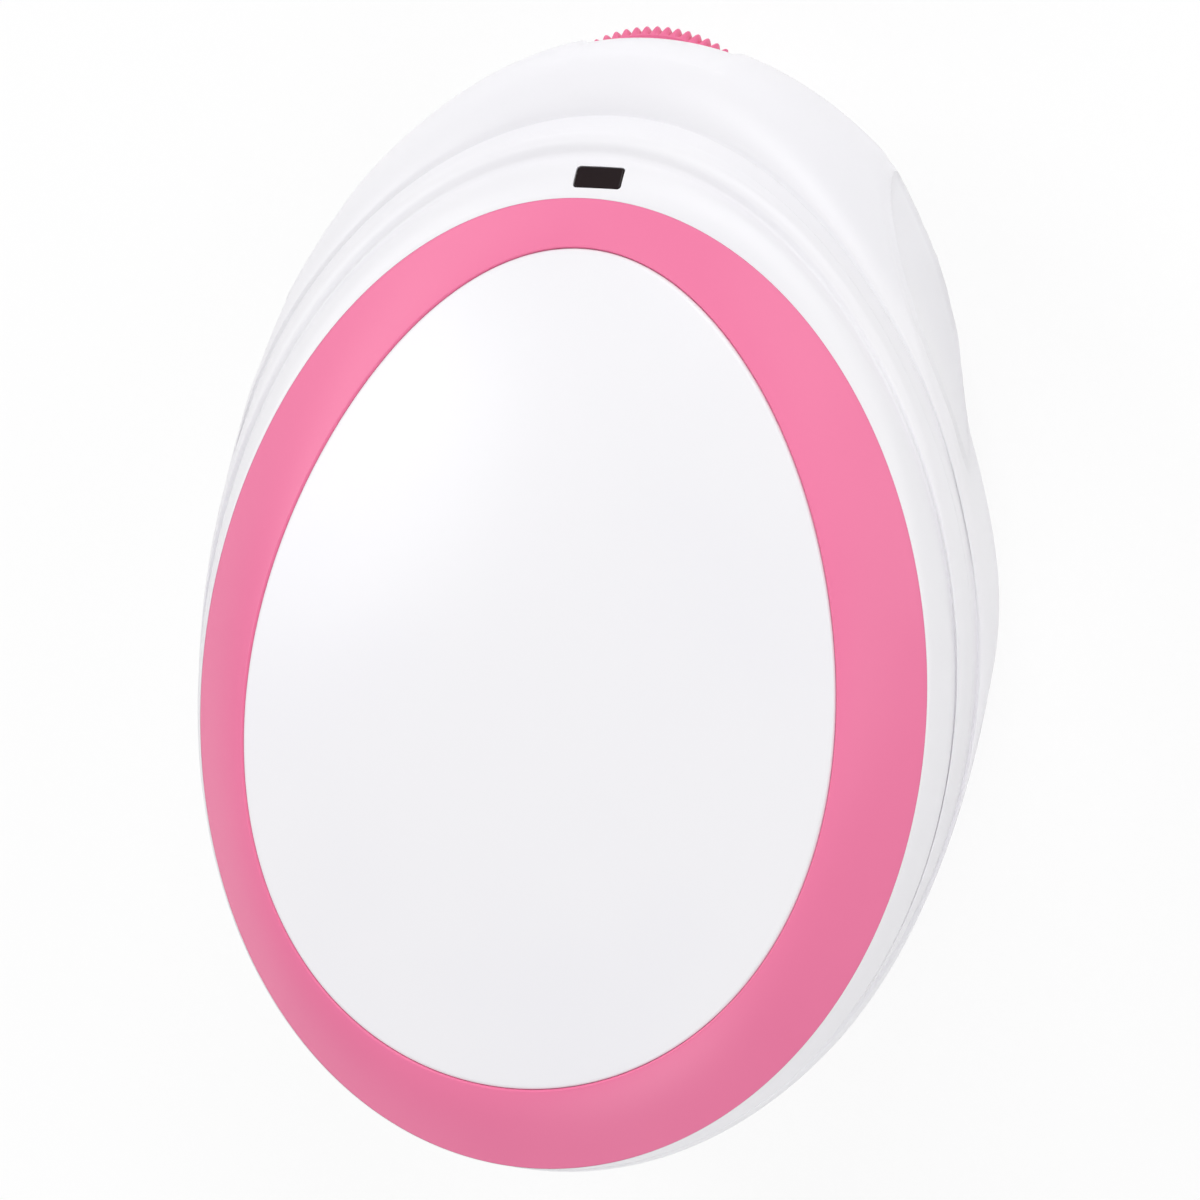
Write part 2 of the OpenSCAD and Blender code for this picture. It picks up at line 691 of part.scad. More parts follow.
module jack_cylinder(y, r, x1, x2) {
    translate([x1, y, jack_z]) rotate([0, 90, 0]) cylinder(r = r, h = x2 - x1);
}

// Thin bright collars in the mouths of the sockets
module jack_collars() {
    color("silver") for (y = jack_y) difference() {
        jack_cylinder(y, jack_nose_r, jack_face - 0.5, jack_face);
        jack_cylinder(y, jack_bore_r, jack_face - 1, jack_face + 1);
    }
}

// White door on the flat back: a plate with rails, hooks and a ribbed thumb grip
module battery_door() {
    color("white") {
        difference() {
            linear_extrude(height = back_z - door_gap / 2) polygon(concat(
                [for (t = [66:4:114]) plan(t, around(t, back_out) - 1.2)],
                [[-door_half_w, bay_y - 0.4], [door_half_w, bay_y - 0.4]]));
            for (i = [0:4]) block([-6 + i * 0.6, 24 + i * 1.8, -1], [6 - i * 0.6, 24.9 + i * 1.8, 0.35]);
        }
        both_sides() {
            block([rail_in, opening_y + door_gap, back_z - door_gap], [rail_out, opening_end - door_travel
                - door_gap, hook_z + hook_h]);
            for (y = hooks_at) block([rail_out - 0.1, y, hook_z], [hook_out, y + hook_l, hook_z + hook_h]);
        }
    }
}

// A AAA cell along Y from y1 to y2 with its nub at y2
module cell(x, y1, dir) {
    translate([x, y1, cell_z]) rotate([-90 * dir, 0, 0]) {
        cylinder(r = cell_r, h = cell_l - nub_l);
        cylinder(r = nub_r, h = cell_l);
    }
}

// Left cell, nub towards the probe
module battery_cell_left() {
    color("steelblue") cell(-cell_x, contact_y + cell_l, -1);
}

// Right cell, nub towards the wheel
module battery_cell_right() {
    color("steelblue") cell(cell_x, contact_y + spring_l, 1);
}

// Two terminal plates with tabs that rise to the board
module terminal_contacts() {
    color("silver") for (x = [-cell_x, cell_x]) {
        block([x - contact_half_w, bay_y, cell_z - contact_below],
            [x + contact_half_w, contact_y, cell_z + contact_above]);
        block([x - tab_half_w, bay_y, cell_z], [x + tab_half_w, contact_y, board_z]);
    }
}

// One plate that joins the two cells at the far end
module bridge_contact() {
    color("silver") block([-cell_x - contact_half_w, bay_end - contact_t, cell_z - contact_below],
        [cell_x + contact_half_w, bay_end, cell_z + contact_above]);
}

// A conical contact spring that stands on the plane y = y0 and tapers along dir
module contact_spring(x, y0, dir) {
    sides = 6;
    n = 14 * spring_turns;
    rise = spring_l - spring_wire;
    wire = spring_wire / 2;
    translate([x, y0, cell_z]) rotate([-90 * dir, 0, 0]) loft([
        for (i = [0:n]) let (a = i * 360 * spring_turns / n, r = 3.8 - 1.6 * i / n, h = wire + rise * i / n)
            [for (k = [0:sides - 1]) let (b = k * 360 / sides, q = r + wire * cos(b))
                [q * cos(a), q * sin(a), h + wire * sin(b)]]]);
}

// The springs behind the flat ends of the cells
module contact_springs() {
    color("gainsboro") {
        contact_spring(cell_x, contact_y, 1);
        contact_spring(-cell_x, bay_end - contact_t, -1);
    }
}

// Probe housing: a round cup that opens to the skin side
module probe_housing() {
    color("whitesmoke") translate([0, probe_y, 0]) difference() {
        union() {
            cylinder(r = probe_r, h = probe_h);
            translate([0, 0, floor_z + seal_t]) cylinder(r = probe_r + flange, h = flange_t);
        }
        translate([0, 0, -1]) cylinder(r = probe_r - probe_wall, h = probe_h - 0.2);
        for (x = [-lead_x, lead_x]) translate([x, 0, 0]) cylinder(r = lead_r + 0.3, h = probe_h + 1);
    }
}

// Rubber seal between the housing's flange and the rear shell's floor
module probe_seal() {
    color("dimgray") translate([0, probe_y, floor_z]) difference() {
        cylinder(r = probe_r + flange, h = seal_t);
        translate([0, 0, -1]) cylinder(r = probe_r + 0.02, h = 2);
    }
}

// Acoustic lens in the mouth of the probe housing
module acoustic_lens() {
    color("gainsboro") post(0, probe_y, probe_r - probe_wall - 0.05, lens_z, crystal_z);
}

// Half disc on one side of the pair of crystals
module half_crystal(side) {
    intersection() {
        post(0, probe_y, crystal_r, crystal_z, backing_z);
        translate([side * (crystal_r + crystal_gap / 2), probe_y, crystal_z + crystal_t / 2])
            cube([2 * crystal_r, 3 * crystal_r, crystal_t + 1], center = true);
    }
}

// Ceramic crystal that sends
module transmit_crystal() {
    color("tan") half_crystal(-1);
}

// Ceramic crystal that receives
module receive_crystal() {
    color("tan") half_crystal(1);
}

// Damping block behind the crystals
module backing_block() {
    color("saddlebrown") post(0, probe_y, backing_r, backing_z, backing_z + backing_h);
}

// Two leads from the backing block to the board's header
module transducer_leads() {
    color("firebrick") for (x = [-lead_x, lead_x])
        post(x, probe_y, lead_r, backing_z + backing_h, board_z - header_size[2]);
}

// Header under the board that takes the leads
module lead_header() {
    color("ivory") translate([0, probe_y, board_z - header_size[2] / 2]) cube(header_size, center = true);
}

// Four self-tapping screws that pull the shells together
module case_screws() {
    color("silver") both_sides() for (p = case_screws_at) {
        post(p[0], p[1], screw_head_r, screw_seat_z - 1.3, screw_seat_z);
        post(p[0], p[1], screw_r, screw_seat_z - 0.1, boss_joint_z + 8);
    }
}

// Screws that hold the board to its posts
module board_screws() {
    color("silver") for (p = board_screws_at) {
        post(p[0], p[1], board_head_r, board_top, board_top + 0.9);
        post(p[0], p[1], board_screw_r, board_z - 3, board_top + 0.1);
    }
}

front_shell();
accent_ring();
front_panel();
indicator_lens();
light_pipe();
indicator_lamp();
rear_shell();
volume_wheel();
wheel_screw();
pot_rotor();
pot_body();
main_board();
microcontroller();
audio_amplifier();
shield_can();
capacitors();
timing_crystal();
earphone_jacks();
jack_collars();
battery_door();
battery_cell_left();
battery_cell_right();
terminal_contacts();
bridge_contact();
contact_springs();
probe_housing();
probe_seal();
acoustic_lens();
transmit_crystal();
receive_crystal();
backing_block();
transducer_leads();
lead_header();
case_screws();
board_screws();
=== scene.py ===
"""Looks of a pocket fetal doppler that lies on its back on a pale floor, seen from above its panel.

The sections follow the object as it is put together, and each holds one piece or a group of like
pieces: its sizes in millimetres, its mesh, its finish and the body that it rides on. Only the
camera's distance, the floor and the lamps are given in metres.
"""
import math

import bmesh
import bpy
import numpy as np
from mathutils import Matrix, Vector


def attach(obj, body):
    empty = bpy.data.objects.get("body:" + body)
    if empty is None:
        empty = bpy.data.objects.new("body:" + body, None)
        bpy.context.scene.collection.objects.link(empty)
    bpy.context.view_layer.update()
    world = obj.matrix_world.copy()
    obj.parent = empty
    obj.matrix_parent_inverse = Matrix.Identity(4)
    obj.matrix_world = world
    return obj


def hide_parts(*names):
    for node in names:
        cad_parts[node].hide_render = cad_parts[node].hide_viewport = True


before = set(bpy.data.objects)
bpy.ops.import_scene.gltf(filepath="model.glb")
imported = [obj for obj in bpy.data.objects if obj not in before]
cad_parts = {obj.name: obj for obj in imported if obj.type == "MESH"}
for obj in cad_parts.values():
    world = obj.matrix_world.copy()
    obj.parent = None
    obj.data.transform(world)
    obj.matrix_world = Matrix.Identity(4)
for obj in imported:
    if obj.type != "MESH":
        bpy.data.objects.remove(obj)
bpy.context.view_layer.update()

# ---------------------------------------------------------------- Camera
# The photograph looks at the panel from 20 degrees to its right, with the object turned 3.6 degrees
# clockwise, so the camera leans 20 degrees from the panel's normal and rolls the other way.
MM = 0.001
RING_Y, RING_Z = -7.7, 30.0
RING_CENTRE = Vector((0.0, RING_Y, RING_Z)) * MM
VIEW_LEAN = math.radians(20)
VIEW_ROLL = math.radians(3.56)
VIEW_DISTANCE = 0.600
PHOTO_SIDE = 1200
PHOTO_SCALE = 0.0838 * MM
RING_PIXEL = (558.2, 683.0)

towards = Vector((math.sin(VIEW_LEAN), 0, math.cos(VIEW_LEAN)))
level = Vector((math.cos(VIEW_LEAN), 0, -math.sin(VIEW_LEAN)))
upright = Vector((0, 1, 0))
right = level * math.cos(VIEW_ROLL) + upright * math.sin(VIEW_ROLL)
up = upright * math.cos(VIEW_ROLL) - level * math.sin(VIEW_ROLL)
aim = (RING_CENTRE + right * (PHOTO_SIDE / 2 - RING_PIXEL[0]) * PHOTO_SCALE
       - up * (PHOTO_SIDE / 2 - RING_PIXEL[1]) * PHOTO_SCALE)
lens = bpy.data.cameras.new("photo_camera")
lens.sensor_width = 36
lens.lens = lens.sensor_width * VIEW_DISTANCE / (PHOTO_SIDE * PHOTO_SCALE)
camera = bpy.data.objects.new("photo_camera", lens)
turn = Matrix((right, up, towards)).transposed().to_4x4()
camera.matrix_world = Matrix.Translation(aim + towards * VIEW_DISTANCE) @ turn
bpy.context.collection.objects.link(camera)
bpy.context.scene.camera = camera
bpy.context.scene.view_settings.view_transform = "Standard"

# ---------------------------------------------------------------- Floor and studio light
# A plain white floor under the object, a white surround, and four large soft lamps: the strongest
# over the object's top, one to its left, and weaker ones to its right and its foot.


class Wire:
    """One socket of a finish's nodes. Sums and products of wires and numbers add Math nodes."""

    def __init__(self, socket):
        self.socket = socket
        self.tree = socket.id_data

    def node(self, kind, settings=(), out=0, **links):
        """Adds any node: its settings first, then values or wires by input name or number."""
        made = self.tree.nodes.new(kind)
        for key, value in dict(settings).items():
            setattr(made, key, value)
        for key, value in links.items():
            numbered = key[0] == "i" and key[1:].isdigit()
            entry = made.inputs[int(key[1:]) if numbered else key.replace("_", " ")]
            if isinstance(value, Wire):
                self.tree.links.new(value.socket, entry)
            else:
                entry.default_value = value
        return Wire(made.outputs[out])

    def maths(self, operation, other):
        """The Math node of this wire and another wire or number."""
        return self.node("ShaderNodeMath", {"operation": operation}, i0=self, i1=other)

    def __add__(self, other):
        return self.maths("ADD", other)

    def __mul__(self, other):
        return self.maths("MULTIPLY", other)

    __radd__ = __add__
    __rmul__ = __mul__

    def between(self, low, high):
        """A mask that rises smoothly from 0 at low to 1 at high."""
        return self.node("ShaderNodeMapRange", {"interpolation_type": "SMOOTHSTEP"},
                         Value=self, From_Min=low, From_Max=high)

    def blend(self, first, second):
        """The colour mix of first and second by this mask."""
        return self.node("ShaderNodeMix", {"data_type": "RGBA"}, out=2, i0=self, i6=first, i7=second)


def srgb(red, green, blue):
    """A colour written in 0 to 255 as a screen shows it, in Blender's linear values."""
    shown = np.array([red, green, blue]) / 255
    return (*np.where(shown < 0.04045, shown / 12.92, ((shown + 0.055) / 1.055) ** 2.4), 1.0)


def blank(name):
    """A new finish: its material, its shader and the wire of the piece's own coordinates."""
    made = bpy.data.materials.new(name)
    made.use_nodes = True
    shader = made.node_tree.nodes["Principled BSDF"]
    place = made.node_tree.nodes.new("ShaderNodeTexCoord")
    return made, shader, Wire(place.outputs["Object"])


def join(wire, shader, name):
    """Links a wire to a shader's input."""
    wire.tree.links.new(wire.socket, shader.inputs[name])


FLOOR_HALF, FLOOR_WHITE, FLOOR_GLOW = 1.2, srgb(250, 250, 250), 0.86
SURROUND = 0.39
OBJECT_MIDDLE = Vector((0, 0, 0.02))
floor_mesh = bpy.data.meshes.new("floor")
floor_corners = [(x * FLOOR_HALF, y * FLOOR_HALF, 0) for x, y in ((-1, -1), (1, -1), (1, 1), (-1, 1))]
floor_mesh.from_pydata(floor_corners, [], [(0, 1, 2, 3)])
floor = bpy.data.objects.new("floor", floor_mesh)
bpy.context.collection.objects.link(floor)
paper, paper_shader = blank("floor_paper")[:2]
paper_shader.inputs["Base Color"].default_value = FLOOR_WHITE
paper_shader.inputs["Roughness"].default_value = 0.9
paper_shader.inputs["Specular IOR Level"].default_value = 0.1
rays = paper.node_tree.nodes.new("ShaderNodeLightPath")
to_camera = Wire(rays.outputs["Is Camera Ray"])
glow = to_camera.node("ShaderNodeEmission", Color=(1, 1, 1, 1), Strength=1.0)
sheet = to_camera.node("ShaderNodeMixShader", i0=to_camera * FLOOR_GLOW,
                       i1=Wire(paper_shader.outputs[0]), i2=glow)
paper.node_tree.links.new(sheet.socket, paper.node_tree.nodes["Material Output"].inputs["Surface"])
floor_mesh.materials.append(paper)

world = bpy.data.worlds.new("white_surround")
bpy.context.scene.world = world
world.use_nodes = True
backdrop = world.node_tree.nodes["Background"]
backdrop.inputs["Color"].default_value = (1, 1, 1, 1)
backdrop.inputs["Strength"].default_value = SURROUND


def lamp(name, at, size, power):
    """A rectangular soft lamp that looks at the object's middle."""
    light = bpy.data.lights.new(name, "AREA")
    light.shape = "RECTANGLE"
    light.size, light.size_y = size
    light.energy = power
    made = bpy.data.objects.new(name, light)
    made.location = at
    made.rotation_euler = (OBJECT_MIDDLE - Vector(at)).to_track_quat("-Z", "Y").to_euler()
    bpy.context.collection.objects.link(made)


lamp("top", (0.15, 0.85, 0.7), (0.6, 0.4), 3.8)
lamp("left", (-0.7, 0.35, 0.7), (0.5, 0.5), 3.1)
lamp("right", (0.8, 0.25, 0.6), (0.5, 0.5), 1.8)
lamp("low", (0.1, -0.85, 0.6), (0.6, 0.4), 2.95)

# ---------------------------------------------------------------- Rear shell
# The white tub behind the second groove, egg-shaped in plan, with a finger grip on each side, a
# shallow recess round the wheel's slot and a flat back. Injection moulded in one piece, with the
# battery bay and the screw bosses in it.
RING_HALF_W, RING_HALF_L, RING_TAPER = 32.4, 40.65, 0.039
RING_LIFT, RING_THICK = 0.9, 1.6
COLUMNS = 480
turns = np.arange(COLUMNS) * 2 * np.pi / COLUMNS
quarter = np.pi / 2
lift = RING_LIFT * np.sin(turns) ** 2


def around(sizes):
    """A five-number size (wheel end, shoulder, side, hip, wide end) round the outline: a Catmull-Rom
    curve through the values at every 45 degrees, alike on both sides."""
    top, shoulder, side, hip, foot = sizes
    knots = np.array([hip, foot, hip, side, shoulder, top, shoulder])
    u = 2 + np.degrees(np.arcsin(np.sin(turns))) / 45
    k = np.clip(np.floor(u), 0, 3).astype(int)
    f = u - k
    a, b, c, d = (knots[k + i] for i in range(4))
    return (2 * b + (c - a) * f + (2 * a - 5 * b + 4 * c - d) * f ** 2 + (3 * b - a - 3 * c + d) * f ** 3) / 2


def plan(out):
    """The ring's egg-shaped outer edge in the plan, moved outwards by out: an ellipse whose half
    width falls with the sine of the angle."""
    s, c = np.sin(turns), np.cos(turns)
    return (RING_HALF_W * (1 - RING_TAPER * s) + out) * c, RING_Y + (RING_HALF_L + out) * s


def loop(out, deep):
    """Points round the outline at the reaches out and the depths deep below the ring's edge, which
    rises at both ends with the square of the sine."""
    x, y = plan(out)
    return np.stack([x, y, RING_Z + lift - deep], axis=1)


def piece(name, points, faces):
    """A smooth-shaded object from points in millimetres and faces, with its normals outwards."""
    mesh = bpy.data.meshes.new(name)
    mesh.from_pydata((np.asarray(points) * MM).tolist(), [], faces)
    solid = bmesh.new()
    solid.from_mesh(mesh)
    if solid.calc_volume(signed=True) < 0:
        bmesh.ops.reverse_faces(solid, faces=solid.faces[:])
    solid.to_mesh(mesh)
    solid.free()
    mesh.shade_smooth()
    made = bpy.data.objects.new(name, mesh)
    bpy.context.collection.objects.link(made)
    return made


def wrap(name, loops, ring=False):
    """A closed skin over loops of points: quads join each loop to the next, and a fan closes the
    first and the last loop, or the last loop meets the first again. Loops in millimetres."""
    loops = np.asarray(loops)
    rows, n = loops.shape[:2]
    points = loops.reshape(-1, 3)
    j = np.arange(rows if ring else rows - 1)[:, None]
    i = np.arange(n)[None, :]
    low, high, nxt = j * n, (j + 1) % rows * n, (i + 1) % n
    faces = np.stack([low + i, low + nxt, high + nxt, high + i], axis=2).reshape(-1, 4).tolist()
    if not ring:
        points = np.concatenate([points, loops[:1].mean(1), loops[-1:].mean(1)])
        k = np.arange(n)
        last = (rows - 1) * n
        faces += np.stack([k * 0 + rows * n, (k + 1) % n, k], axis=1).tolist()
        faces += np.stack([k * 0 + rows * n + 1, last + k, last + (k + 1) % n], axis=1).tolist()
    return piece(name, points, faces)


def block(low, high):
    """A box between two corners."""
    (a, b, c), (d, e, f) = low, high
    ends = [[(a, b, z), (d, b, z), (d, e, z), (a, e, z)] for z in (c, f)]
    return wrap("block", ends)


def turned(name, profile, centre, axis="z", steps=96, ring=False):
    """A solid of revolution: (radius, height) points carried round an axis through the centre."""
    a = np.arange(steps) * 2 * np.pi / steps
    r, h = np.asarray(profile, float).T
    rim = np.stack([r[:, None] * np.cos(a), r[:, None] * np.sin(a), h[:, None] + 0 * a], axis=2)
    order = {"x": [2, 0, 1], "y": [1, 2, 0], "z": [0, 1, 2]}[axis]
    return wrap(name, rim[:, :, order] + np.asarray(centre), ring)


def post(x, y, radius, low, high, steps=48):
    """A cylinder between two heights."""
    return turned("post", [(radius, low), (radius, high)], (x, y, 0), steps=steps)


def crisp(made, degrees=35):
    """Edges sharper than the angle shade as edges."""
    made.data.shade_smooth()
    made.data.set_sharp_from_angle(angle=math.radians(degrees))


def carve(made, tools, operation="DIFFERENCE"):
    """Cuts the tools out of a piece, joins them to it or keeps what they share, and deletes them."""
    for tool in tools:
        step = made.modifiers.new("carve", "BOOLEAN")
        step.operation, step.solver, step.object = operation, "MANIFOLD", tool
    bpy.context.view_layer.update()
    result = bpy.data.meshes.new_from_object(made.evaluated_get(bpy.context.evaluated_depsgraph_get()))
    made.modifiers.clear()
    old = made.data
    made.data = result
    bpy.data.meshes.remove(old)
    for tool in tools:
        bpy.data.meshes.remove(tool.data)
    result.name = made.name


# Lines round the shell: each one's reach beyond the ring's edge and its depth below that edge.
SEAM_OUT, SEAM_DEEP, SEAM_GAP = (6.3, 4.4, 2.1, 0.48, 0.2), (4.0, 2.4, 5.5, 3.5, 2.95), 0.05
RIM_OUT, RIM_DEEP = (7.4, 5.05, 2.15, 0.3, 0.08), (5.6, 3.4, 6.4, 3.75, 3.2)
CREST_OUT, CREST_DEEP = (8.1, 5.4, 2.45, 0.62, 0.33), (5.6, 3.3, 6.2, 3.95, 3.35)
WIDEST_OUT, WIDEST_DEEP = (15.0, 10.1, 2.85, 0.75, 0.5), (12.7, 14.7, 7.0, 4.9, 4.2)
BACK_OUT, BACK_Z = (10.0, -1.0, -5.8, -8.2, -3.5), 1.2
REAR_STRAIGHT, CREST_STRAIGHT, WALL = 0.7, 0.12, 1.8

# A grip's face: its reach, where that is measured, its lean towards the wheel end, the extra bend
# beyond BEND_FROM, its drafts at three places along it, and the width of its blend into the shell.
GRIP_X, GRIP_Y, GRIP_DEEP, GRIP_LEAN = 34.8, 11.6, 6.0, 0.297
GRIP_BEND, BEND_FROM, DRAFTS_AT, GRIP_DRAFTS = 0.11, 16.0, (2, 16, 30), (0.16, 0.22, 0.06)
GRIP_BLEND, BLEND_END, BLEND_RUN, BLEND_LEAST = 1.6, 26, 8, 0.15

# The fine bead round a grip, with a dip beside it, and the recess round the wheel's slot.
BEAD_H, BEAD_W, BEAD_BELOW, BEAD_FROM, BEAD_RUN = 0.26, 0.24, 0.55, 8, 6
BEAD_DRIFT, DRIFT_END, DIP, DIP_AT = 0.3, 24, 0.7, 2
RECESS_X, RECESS_Z, RECESS_FROM = (-6.0, 8.2), (8.0, 22.8), 40
RECESS_DEEP, RECESS_EDGE = 0.3, 0.22


def eased(u):
    """A step that rises smoothly from 0 at u = 0 to 1 at u = 1."""
    u = np.clip(u, 0, 1)
    return u * u * (3 - 2 * u)


def gripped(points, inset):
    """Holds the shell in at its finger grips: no point lies further out than a face that leans
    inwards towards the wheel end and towards the back, bends in and stands up straighter towards
    the wheel end, and meets the shell in a fine raised bead. Round the wheel's slot it sinks the
    shell into a shallow recess."""
    across, y, z = points[:, 0], points[:, 1], points[:, 2]
    x = np.abs(across)
    limit = (GRIP_X - inset - GRIP_BEND * np.maximum(y - BEND_FROM, 0) - GRIP_LEAN * (y - RING_Y - GRIP_Y)
             - np.interp(y, DRAFTS_AT, GRIP_DRAFTS) * (RING_Z - z - GRIP_DEEP))
    blend = np.clip((BLEND_END - y) / BLEND_RUN, BLEND_LEAST, 1) * GRIP_BLEND
    held = np.minimum(x, limit) - np.maximum(blend - np.abs(x - limit), 0) ** 2 / (4 * blend)
    past = (x - limit - BEAD_BELOW - BEAD_DRIFT * np.maximum(DRIFT_END - y, 0)) / BEAD_W
    bead = np.exp(-past ** 2) - DIP * np.exp(-(past + DIP_AT) ** 2)
    held = held + BEAD_H * bead * eased((y - BEAD_FROM) / BEAD_RUN)
    sunk = RECESS_DEEP * (y > RECESS_FROM)
    for within in (across - RECESS_X[0], RECESS_X[1] - across, RECESS_Z[1] - z, z - RECESS_Z[0]):
        sunk = sunk * eased(within / RECESS_EDGE)
    return np.column_stack([np.sign(across) * held, y - sunk, z])


def shoulder(a, less=0.0):
    """The shell from its crest to its widest loop: part straight, part a quarter ellipse, at angle a."""
    o1, o2 = around(CREST_OUT), around(WIDEST_OUT)
    d1, d2 = around(CREST_DEEP), around(WIDEST_DEEP) + lift
    f = CREST_STRAIGHT * np.sin(a) + (1 - CREST_STRAIGHT) * (1 - np.cos(a))
    return gripped(loop(o1 + (o2 - o1) * np.sin(a) - less, d1 + (d2 - d1) * f), less)


def rear(a, less=0.0, rise=0.0):
    """The shell from its widest loop to its back: part straight, part a quarter ellipse, at angle a."""
    o1, o2 = around(WIDEST_OUT), around(BACK_OUT)
    d1, d2 = around(WIDEST_DEEP), RING_Z - BACK_Z - rise
    f = REAR_STRAIGHT * np.sin(a) + (1 - REAR_STRAIGHT) * (1 - np.cos(a))
    return gripped(loop(o1 - (o1 - o2) * f - less, d1 + (d2 - d1) * np.sin(a) + lift), less)


def mix(first, second, f):
    """The point f of the way from one (reach, depth) pair to another, all round."""
    return [a + (b - a) * f for a, b in zip(first, second)]


REAR_ROWS, SHOULDER_ROWS, INNER_ROWS, INNER_FROM = 44, 60, (8, 10), 0.35
crest = [around(CREST_OUT), around(CREST_DEEP)]
groove = [around(RIM_OUT), around(RIM_DEEP)]
seam = [around(SEAM_OUT), around(SEAM_DEEP) + SEAM_GAP]
shell_loops = [rear(a) for a in np.linspace(quarter, 0, REAR_ROWS)]
shell_loops += [shoulder(a) for a in np.linspace(quarter, 0, SHOULDER_ROWS)[1:]]
shell_loops += [loop(*mix(crest, groove, math.sin(f * quarter))) for f in (0.25, 0.5, 0.75, 1.0)]
shell_loops += [loop(*mix(groove, seam, f)) for f in (0.3, 0.65, 1.0)]
shell_loops += [loop(seam[0] - WALL, seam[1])]
shell_loops += [shoulder(a, WALL) for a in np.linspace(INNER_FROM, quarter, INNER_ROWS[0])]
shell_loops += [rear(a, WALL, WALL) for a in np.linspace(0, quarter, INNER_ROWS[1])[1:]]
rear_shell = wrap("rear_shell_skin", shell_loops)

# The battery bay, its opening with the door's hook tracks, the bosses and all the holes.
BAY_HALF_W, BAY_Y, BAY_END, BAY_TOP, BAY_WALL = 10.95, -11.8, 36.7, 12.95, 1.0
SKIN_IN, SKIN_TOP, SKIN_ROWS = 0.3, 1.05, 12
FLOOR_Z, OPENING_HALF_W, OPENING_Y, OPENING_END = 3.0, 10.42, -10.5, 34.5
HOOK_OUT, HOOK_L, HOOK_Z, HOOK_H, DOOR_GAP, DOOR_TRAVEL = 11.5, 5.0, 3.12, 0.9, 0.12, 8.0
HOOKS_AT = (-8.5, 6.5, 21.5)
CELL_X, CELL_R, CELL_Z, CELL_L, CELL_PLAY = 5.5, 5.25, 7.5, 44.5, 0.2
TAB_HALF_W, TAB_SLOT = 1.7, (-0.1, 0.5)
CASE_SCREWS = [(side * x, y) for x, y in ((17, 20), (18, -13)) for side in (1, -1)]
BOARD_SCREWS = ((-8, -8), (8, -8), (0, 18))
BOSS_R, BOSS_TOP, SCREW_R, HEAD_R, SEAT_Z, SCREW_PLAY = 3.0, 12.0, 0.95, 2.0, 6.0, 0.3
BOARD_BOSS_R, BOARD_BOSS_TOP, PILOT_R, PILOT_Z = 2.2, 19.6, 0.8, (BAY_TOP + BAY_WALL + 0.2, 21)
WHEEL_Y, WHEEL_Z, WHEEL_R, WHEEL_H, WHEEL_GAP, SLOT_PLAY = 36.35, 15.5, 12.5, 2.4, 0.45, 0.3
PROBE_Y, PROBE_R, FLANGE, FIT = -28.0, 14.2, 0.7, 0.1
JACKS_AT, JACK_Z, JACK_FACE, NOSE_R, BORE_R = (-4, 7), 17.1, -32.5, 2.45, 1.77

bay = block((-BAY_HALF_W - BAY_WALL, BAY_Y - BAY_WALL, BACK_Z + 0.5),
            (BAY_HALF_W + BAY_WALL, BAY_END + BAY_WALL, BAY_TOP + BAY_WALL))
skin_loops = [rear(a, SKIN_IN, SKIN_IN) for a in np.linspace(quarter, 0, SKIN_ROWS)]
carve(bay, [wrap("skin", skin_loops + [shoulder(SKIN_TOP, SKIN_IN)])], "INTERSECT")
bosses = [post(x, y, BOSS_R, BACK_Z + 1, BOSS_TOP) for x, y in CASE_SCREWS]
bosses += [post(x, y, BOARD_BOSS_R, BAY_TOP + 0.5, BOARD_BOSS_TOP) for x, y in BOARD_SCREWS]
carve(rear_shell, [bay] + bosses, "UNION")
holes = [block((-BAY_HALF_W, BAY_Y, FLOOR_Z), (BAY_HALF_W, BAY_END, BAY_TOP)),
         block((-OPENING_HALF_W, OPENING_Y, 0), (OPENING_HALF_W, OPENING_END, FLOOR_Z + 1))]
trough = [(CELL_R + CELL_PLAY, BAY_Y), (CELL_R + CELL_PLAY, BAY_END)]
holes += [turned("trough", trough, (x, 0, CELL_Z), "y") for x in (-CELL_X, CELL_X)]
for side in (-1, 1):
    near, out = sorted((side * (OPENING_HALF_W - 1), side * (HOOK_OUT + DOOR_GAP)))
    for y in HOOKS_AT:
        far = y + HOOK_L + DOOR_TRAVEL + DOOR_GAP
        holes.append(block((near, y - DOOR_GAP, FLOOR_Z - 0.01), (out, far, HOOK_Z + HOOK_H + DOOR_GAP)))
        holes.append(block((near, y + DOOR_TRAVEL - DOOR_GAP, 0), (out, far, FLOOR_Z + 0.5)))
holes += [block((x - TAB_HALF_W, BAY_Y + TAB_SLOT[0], BAY_TOP - 1),
                (x + TAB_HALF_W, BAY_Y + TAB_SLOT[1], BAY_TOP + BAY_WALL + 1)) for x in (-CELL_X, CELL_X)]
for x, y in CASE_SCREWS:
    holes += [post(x, y, SCREW_R + SCREW_PLAY, 0, BOSS_TOP + 1), post(x, y, HEAD_R + SCREW_PLAY, -1, SEAT_Z)]
holes += [post(x, y, PILOT_R, *PILOT_Z) for x, y in BOARD_SCREWS]
holes += [post(0, PROBE_Y, PROBE_R + FIT, -1, FLOOR_Z + 1, 160),
          post(0, PROBE_Y, PROBE_R + FLANGE + FIT, FLOOR_Z, FLOOR_Z + 2, 160),
          post(0, WHEEL_Y, WHEEL_R + WHEEL_GAP, WHEEL_Z - WHEEL_H / 2 - SLOT_PLAY,
               WHEEL_Z + WHEEL_H / 2 + SLOT_PLAY, 200)]
tunnel = [(NOSE_R + FIT, JACK_FACE - 6), (NOSE_R + FIT, JACK_FACE + 14)]
holes += [turned("tunnel", tunnel, (0, y, JACK_Z), "x") for y in JACKS_AT]
carve(rear_shell, holes)
crisp(rear_shell)

